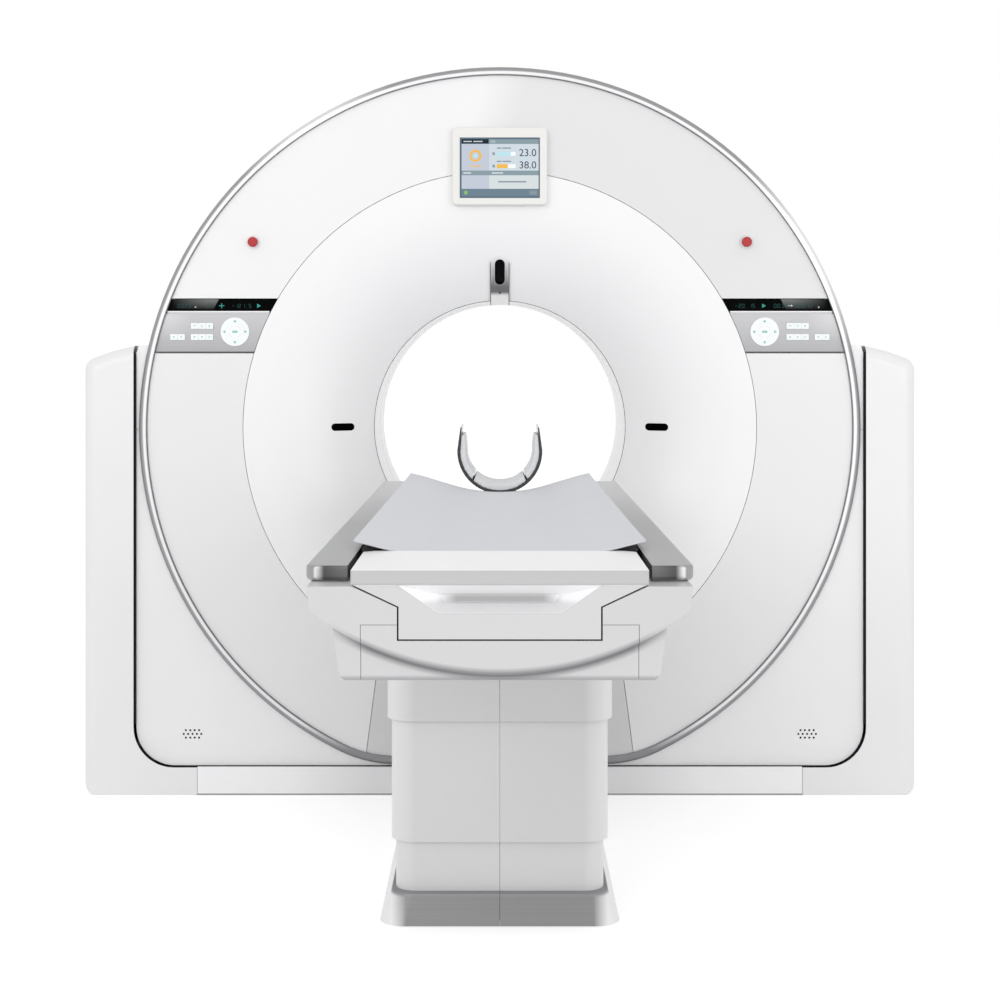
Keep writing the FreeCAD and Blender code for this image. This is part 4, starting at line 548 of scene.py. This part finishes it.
def grille_felt(side):
    """Dark acoustic felt behind an intercom grille."""
    shape = bmesh.new()
    bmesh.ops.create_cone(shape, cap_ends=True, segments=32, radius1=0.036, radius2=0.036, depth=0.002,
                          matrix=Matrix.Translation((side * 0.84, -0.3278, 0.163)) @ LAID)
    piece("grille_felt_" + ("left" if side < 0 else "right"), shape, dark_seal, "gantry")


def slot_brushes():
    """Black bristle strips that close the slots between the pillars and the tilting body: a real seal, and also
    painted shade that darkens the slots.
    """
    shape = bmesh.new()
    for side in (-1, 1):
        inner, outer = sorted((side * 0.9940, side * 0.9984))
        for front, back in ((-0.3435, -0.3375), (0.3375, 0.3435)):
            slab(shape, (inner, outer), (front, back), (0.192, 1.200))
    piece("slot_brushes", shape, dark_seal, "base")


def panel_light_bars():
    """A silver and a white bar between the readout strips and the key panels."""
    shape = bmesh.new()
    for side in (-1, 1):
        inner, outer = sorted((side * 0.6286, side * 0.9072))
        slab(shape, (inner, outer), (-0.3432, -0.3385), (1.3112, 1.3158), index=1)
        slab(shape, (inner, outer), (-0.3436, -0.3385), (1.3158, 1.3188), edge=0.0006)
    piece("panel_light_bars", shape, [light_strip, silver_bar], "gantry")


def strip_readouts():
    """Lit seven-segment figures and marks behind the smoked strips."""
    shape = bmesh.new()
    y, z, high = -0.34405, 1.3328, 0.0098
    for text, x, pitch in (("0023", -0.8755, 0.0098), ("27", -0.7950, 0.0098), ("1.5", -0.6985, 0.0085),
                           ("-12", -0.7265, 0.0085), ("000", 0.8090, 0.0098), ("12", 0.8390, 0.0098),
                           ("00", 0.7510, 0.0098), ("30", 0.7720, 0.0098), ("-20.15", 0.6450, 0.0095)):
        segment_digits(shape, text, x, z, y, high, pitch)
    # a cross on the left-hand strip, and pointers
    mark(shape, (-0.7660, -0.7516), (1.3319, 1.3343), y, index=1)
    mark(shape, (-0.7600, -0.7576), (1.3262, 1.3400), y, index=1)
    arrow(shape, -0.6585, 1.3330, y, 0.0115, 0.0, index=1)
    arrow(shape, 0.7190, 1.3330, y, 0.0115, 0.0, index=1)
    arrow(shape, -0.8300, 1.3295, y, 0.0050, math.pi / 2, index=2)
    arrow(shape, 0.8700, 1.3290, y, 0.0050, -math.pi / 2, index=2)
    mark(shape, (0.7860, 0.7935), (1.3325, 1.3341), y, index=2)
    arrow(shape, 0.7960, 1.3333, y, 0.0060, 0.0, index=2)
    piece("strip_readouts", tidy(shape), [dim_teal, lit_teal, lit_white], "gantry")


def key_marks():
    """Printed marks on the keys and round pads; each rides on its own button."""
    y = -0.3465          # face of the keys and pads
    kinds = {"upper_1": "eject", "upper_2": "ring", "upper_3": "right", "lower_1": "right", "lower_2": "down",
             "lower_3": "lamp", "pair_1": "lower", "pair_2": "raise"}
    for name in nodes:
        if not name.startswith("key_"):
            continue
        low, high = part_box(name)
        x, z = (low[0] + high[0]) / 2, (low[2] + high[2]) / 2
        kind = kinds[name.split("_", 2)[2]]
        shape = bmesh.new()
        if kind == "eject":
            mark(shape, about(x, 0.0045), about(z, 0.0008), y)
            arrow(shape, x, z + 0.0026, y, 0.0030, math.pi / 2)
        elif kind == "ring":
            band(shape, 0.0024, 0.0034, y - PRINT, y, z, x, steps=16)
        elif kind == "right":
            arrow(shape, x, z, y, 0.0062, 0.0)
        elif kind == "down":
            arrow(shape, x, z, y, 0.0058, -math.pi / 2)
        elif kind == "lamp":
            band(shape, 0.0022, 0.0032, y - PRINT, y, z, x - 0.0015, steps=16)
            mark(shape, (x + 0.0022, x + 0.0052), about(z, 0.0006), y)
        else:
            side = -1 if kind == "lower" else 1
            mark(shape, about(x, 0.0040), (z - 0.0030, z - 0.0022), y)
            arrow(shape, x, z + 0.0012, y, 0.0050, math.pi / 2 * side)
        piece(name.replace("key_", "key_mark_"), tidy(shape), teal_print, "body_" + name)
    for name in ("round_pad_left", "round_pad_right"):
        low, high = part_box(name)
        x, z = (low[0] + high[0]) / 2, (low[2] + high[2]) / 2
        shape = bmesh.new()
        for way in range(4):
            turn = way * math.pi / 2
            dx, dz = math.cos(turn), math.sin(turn)
            arrow(shape, x + dx * 0.0300, z + dz * 0.0300, y, 0.0060, turn)
            mark(shape, about(x + dx * 0.0272, 0.0012 + 0.0028 * abs(dz)),
                 about(z + dz * 0.0272, 0.0012 + 0.0028 * abs(dx)), y)
            band(shape, 0.0160, 0.0166, y - PRINT, y, z, x, steps=12, sweep=1.0,
                 start=turn + math.pi / 4 - 0.5, index=1)
        mark(shape, about(x, 0.0070), about(z, 0.0030), y)
        piece(name.replace("round_pad", "round_pad_marks"), tidy(shape), [teal_print, pale_print],
              "body_" + name)


# patches of the display: from left to right and from the top down, as shares, then layer and tone
PATCHES = (
    ((0, 1), (0, 1), 0, 0),
    ((0.022, 0.362), (0.026, 0.099), 1, 1), ((0.362, 0.985), (0.026, 0.099), 1, 2),
    ((0.022, 0.367), (0.103, 0.547), 1, 3), ((0.367, 0.985), (0.103, 0.547), 1, 4),
    ((0.045, 0.150), (0.055, 0.072), 2, 4), ((0.170, 0.285), (0.055, 0.072), 2, 4),
    ((0.385, 0.445), (0.042, 0.086), 2, 5),
    ((0.463, 0.520), (0.163, 0.183), 2, 6), ((0.532, 0.640), (0.163, 0.183), 2, 6),
    ((0.463, 0.520), (0.383, 0.403), 2, 6), ((0.532, 0.640), (0.383, 0.403), 2, 6),
    ((0.463, 0.698), (0.236, 0.300), 2, 7), ((0.463, 0.636), (0.236, 0.300), 3, 8),
    ((0.463, 0.698), (0.440, 0.505), 2, 7), ((0.463, 0.600), (0.440, 0.505), 3, 9),
    ((0.408, 0.438), (0.243, 0.290), 2, 2), ((0.408, 0.438), (0.447, 0.495), 2, 2),
    ((0.022, 0.985), (0.551, 0.619), 1, 2),
    ((0.045, 0.140), (0.578, 0.592), 2, 7), ((0.400, 0.540), (0.578, 0.592), 2, 7),
    ((0.022, 0.367), (0.622, 0.848), 1, 3), ((0.367, 0.985), (0.622, 0.848), 1, 10),
    ((0.480, 0.830), (0.720, 0.742), 2, 6),
    ((0.022, 0.985), (0.853, 0.968), 1, 11),
    ((0.868, 0.968), (0.872, 0.950), 2, 6), ((0.890, 0.945), (0.900, 0.925), 3, 2),
)
TONES = ("#5F7482", "#1B2833", "#8EA0A8", "#C6CEDC", "#D3DEE6", "#A9B9C0", "#8794A0", "#FBFDFE", "#BFE9F2",
         "#F7BE50", "#DAE2E3", "#6F8494", "#8CC46C", "#33424E")


def screen_layout():
    """Plain readout on the gantry's display: bars, a dial and two figures."""
    shape = bmesh.new()
    left, right, top, low = -0.1086, 0.1086, 1.789, 1.625
    width, height = right - left, top - low
    glass, layer_step = -0.3670, 0.00015
    for u, v, layer, index in PATCHES:
        front = glass - layer_step * layer
        slab(shape, [left + width * each for each in u], (front - layer_step, front),
             [top - height * each for each in reversed(v)], index=index)
    # the dial, its foot and a round lamp
    dial_x, dial_z, face, back = left + 0.195 * width, top - 0.30 * height, -0.36740, -0.36715
    band(shape, 0.0105, 0.0165, face, back, dial_z, dial_x, steps=40, index=9)
    band(shape, 0.0010, 0.0060, face, back, dial_z, dial_x, steps=24, index=8)
    slab(shape, (left + 0.120 * width, left + 0.270 * width), (face, back),
         (top - 0.480 * height, top - 0.462 * height), index=9)
    band(shape, 0.0004, 0.0052, -0.36745, back, top - 0.910 * height, left + 0.075 * width, steps=20, index=12)
    for text, foot in (("23.0", 0.306), ("38.0", 0.510)):
        numerals(shape, text, left + 0.849 * width, top - foot * height, -0.3674, 0.0192, 13)
    piece("screen_layout", tidy(shape), [backlit("screen_tone_%02d" % i, colour) for i, colour in enumerate(TONES)],
          "gantry")


def bracket_lamp():
    """Small dark lens in the window bracket, where its front stands on the middle line."""
    height = 1.3720
    hit, spot, normal, index = nodes["window_bracket"].ray_cast(Vector((0.0, -1.0, height)), Vector((0, 1, 0)))
    shape = bmesh.new()
    bmesh.ops.create_cone(shape, cap_ends=True, segments=24, radius1=0.0030, radius2=0.0022, depth=0.004,
                          matrix=Matrix.Translation((0.0004, spot.y, height)) @ LAID)
    piece("bracket_lamp", shape, dark_seal, "gantry")


def inflate(made, hold, pressure=4.0, cap=0.0022, frames=20):
    """Swells a padded piece with a cloth simulation, no further than the cap; hold corrects a shift."""
    scene = bpy.context.scene
    start = [vert.co.copy() for vert in made.data.vertices]
    cloth = made.modifiers.new("Cloth", "CLOTH")
    cloth.settings.use_pressure = True
    cloth.settings.uniform_pressure_force = pressure
    cloth.settings.effector_weights.gravity = 0
    cloth.settings.quality = 5
    cloth.settings.tension_stiffness = 25
    cloth.settings.compression_stiffness = 25
    for number in range(1, frames + 1):
        scene.frame_set(number)
    swollen = made.evaluated_get(bpy.context.evaluated_depsgraph_get()).data
    ends = [vert.co.copy() for vert in swollen.vertices]
    made.modifiers.remove(cloth)
    scene.frame_set(1)
    for vert, old, new in zip(made.data.vertices, start, ends):
        shift = new - old
        if shift.length > cap:
            shift = shift * (cap / shift.length)
        vert.co = old + hold(old, shift)
    smooth = made.modifiers.new("Subdivision", "SUBSURF")
    smooth.levels = smooth.render_levels = 1
    for face in made.data.polygons:
        face.use_smooth = True


def cut(shape, spot, normal, **settings):
    """Cuts a mesh across at a plane."""
    bmesh.ops.bisect_plane(shape, geom=[*shape.verts, *shape.edges, *shape.faces], dist=1e-6,
                           plane_co=spot, plane_no=normal, **settings)


def grid_cut(shape, spots, normal):
    """Cuts a mesh across at each of the spots."""
    for spot in spots:
        cut(shape, Vector(normal) * spot, normal)


def padded_mat():
    """Cradle mat: foam in welded vinyl, with thin wings and rounded corners at its head end."""
    shape = bmesh.new()
    shape.from_mesh(nodes["mat"].data)
    bmesh.ops.remove_doubles(shape, verts=shape.verts, dist=1e-5)
    low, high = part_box("mat")
    front, back = low[1], high[1]
    front_half, back_half, bend, hem = 0.2426, 0.2290, 0.032, 0.004
    for side in (-1, 1):
        for step in range(6):
            turn = math.radians(7.5 + 15 * step)
            out = Vector((side * math.cos(turn), math.sin(turn), 0))
            cut(shape, Vector((side * (back_half - bend), back - bend, 0)) + out * bend, out, clear_outer=True)
            bmesh.ops.holes_fill(shape, edges=[line for line in shape.edges if line.is_boundary], sides=0)
    grid_cut(shape, [front + hem, *(front + 0.012 + 0.025 * i for i in range(70)), back - hem], (0, 1, 0))
    grid_cut(shape, [0.024 * i for i in range(-9, 10)], (1, 0, 0))
    for side in (-1, 1):
        slant = Vector((side, (front_half - back_half) / (back - front), 0)).normalized()
        cut(shape, Vector((side * (front_half - hem), front, 0)), slant)
    made = piece("padded_mat", tidy(shape), mat_vinyl, "cradle")
    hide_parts("mat")

    def upwards_only(old, shift):
        return Vector((shift.x * 0.3, shift.y * 0.3, max(shift.z, 0.0)))

    inflate(made, upwards_only)


def padded_head_cushions():
    """Three foam pads that line the head holder."""
    shape = bmesh.new()
    shape.from_mesh(nodes["head_pads"].data)
    bmesh.ops.remove_doubles(shape, verts=shape.verts, dist=1e-5)
    low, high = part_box("head_pads")
    hem = 0.003
    grid_cut(shape, [low[1] + hem, *(low[1] + 0.012 * i for i in range(1, 20)), high[1] - hem], (0, 1, 0))
    grid_cut(shape, [0.011 * i for i in range(-9, 10)], (1, 0, 0))
    grid_cut(shape, [0.850 + 0.011 * i for i in range(0, 13)], (0, 0, 1))
    made = piece("padded_head_cushions", tidy(shape), pad_vinyl, "cradle")
    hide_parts("head_pads")
    bend_height = 0.9495          # of the point that the holder's bend turns about

    def inwards_only(old, shift):
        out = Vector((old.x, 0, min(old.z - bend_height, 0.0)))
        if out.length > 0:
            out.normalize()
            shift = shift - out * max(shift.dot(out), 0.0)
        return shift

    inflate(made, inwards_only)


bore_edge_seal()
grille_felt(-1)
grille_felt(1)
slot_brushes()
panel_light_bars()
strip_readouts()
key_marks()
screen_layout()
bracket_lamp()
padded_mat()
padded_head_cushions()


# ------------------------------------------------------------------ room, light and camera
def seen_directly(tree):
    """Where a ray comes from the camera, or from a mirror or glass."""
    path = add(tree, "LightPath")
    seen = add(tree, "Math", {0: path["Is Camera Ray"], 1: path["Is Glossy Ray"]}, operation="MAXIMUM")[0]
    return add(tree, "Math", {0: seen, 1: path["Is Transmission Ray"]}, operation="MAXIMUM")[0]


def room():
    """White floor and background."""
    shape = bmesh.new()
    bmesh.ops.create_grid(shape, x_segments=1, y_segments=1, size=60.0)
    mesh = bpy.data.meshes.new("studio_floor")
    shape.to_mesh(mesh)
    shape.free()
    floor = bpy.data.objects.new("studio_floor", mesh)
    bpy.context.scene.collection.objects.link(floor)
    floor.location.z = -0.0005
    material = bpy.data.materials.new("white_studio_floor")
    material.use_nodes = True
    tree = material.node_tree
    tree.nodes.remove(tree.nodes["Principled BSDF"])
    out = tree.nodes["Material Output"]
    matt = add(tree, "BsdfDiffuse", {"Color": linear("#F2F2F2")})[0]
    glow = add(tree, "Emission", {"Color": (1, 1, 1, 1), "Strength": 0.35})[0]
    lift = add(tree, "AddShader", {0: matt, 1: glow})[0]
    tree.links.new(add(tree, "MixShader", {0: seen_directly(tree), 1: matt, 2: lift})[0], out.inputs["Surface"])
    mesh.materials.append(material)

    world = bpy.data.worlds.new("studio")
    bpy.context.scene.world = world
    world.use_nodes = True
    tree = world.node_tree
    back = tree.nodes["Background"]
    level = add(tree, "MapRange", {"Value": seen_directly(tree), "To Min": 0.81, "To Max": 1.0})[0]
    back.inputs["Color"].default_value = (1, 1, 1, 1)
    tree.links.new(level, back.inputs["Strength"])


def lamp(name, at, aim, size, power):
    """Square softbox."""
    data = bpy.data.lights.new(name, "AREA")
    data.shape = "SQUARE"
    data.size = size
    data.energy = power
    made = bpy.data.objects.new(name, data)
    bpy.context.scene.collection.objects.link(made)
    made.location = at
    made.rotation_euler = (Vector(aim) - Vector(at)).to_track_quat("-Z", "Y").to_euler()


def camera():
    """Level camera on the axis of the bore, with the frame shifted down to the photograph's."""
    focal, width = 1900, 1000          # in pixels of the photograph
    data = bpy.data.cameras.new("front")
    made = bpy.data.objects.new("front", data)
    bpy.context.scene.collection.objects.link(made)
    made.location = (0.0, -5.527, 1.196)
    made.rotation_euler = (math.pi / 2, 0, 0)
    data.sensor_width = 36.0
    data.lens = focal / width * data.sensor_width
    data.shift_x = 0.0002
    data.shift_y = -0.144
    data.clip_end = 200
    bpy.context.scene.camera = made


room()
lamp("key", (-4.0, -10.0, 4.0), (0, 0, 1), 5.0, 190)
lamp("fill", (4.5, -10.0, 1.6), (0, 0, 0.7), 5.0, 200)
camera()
bpy.context.scene.view_settings.view_transform = "Standard"
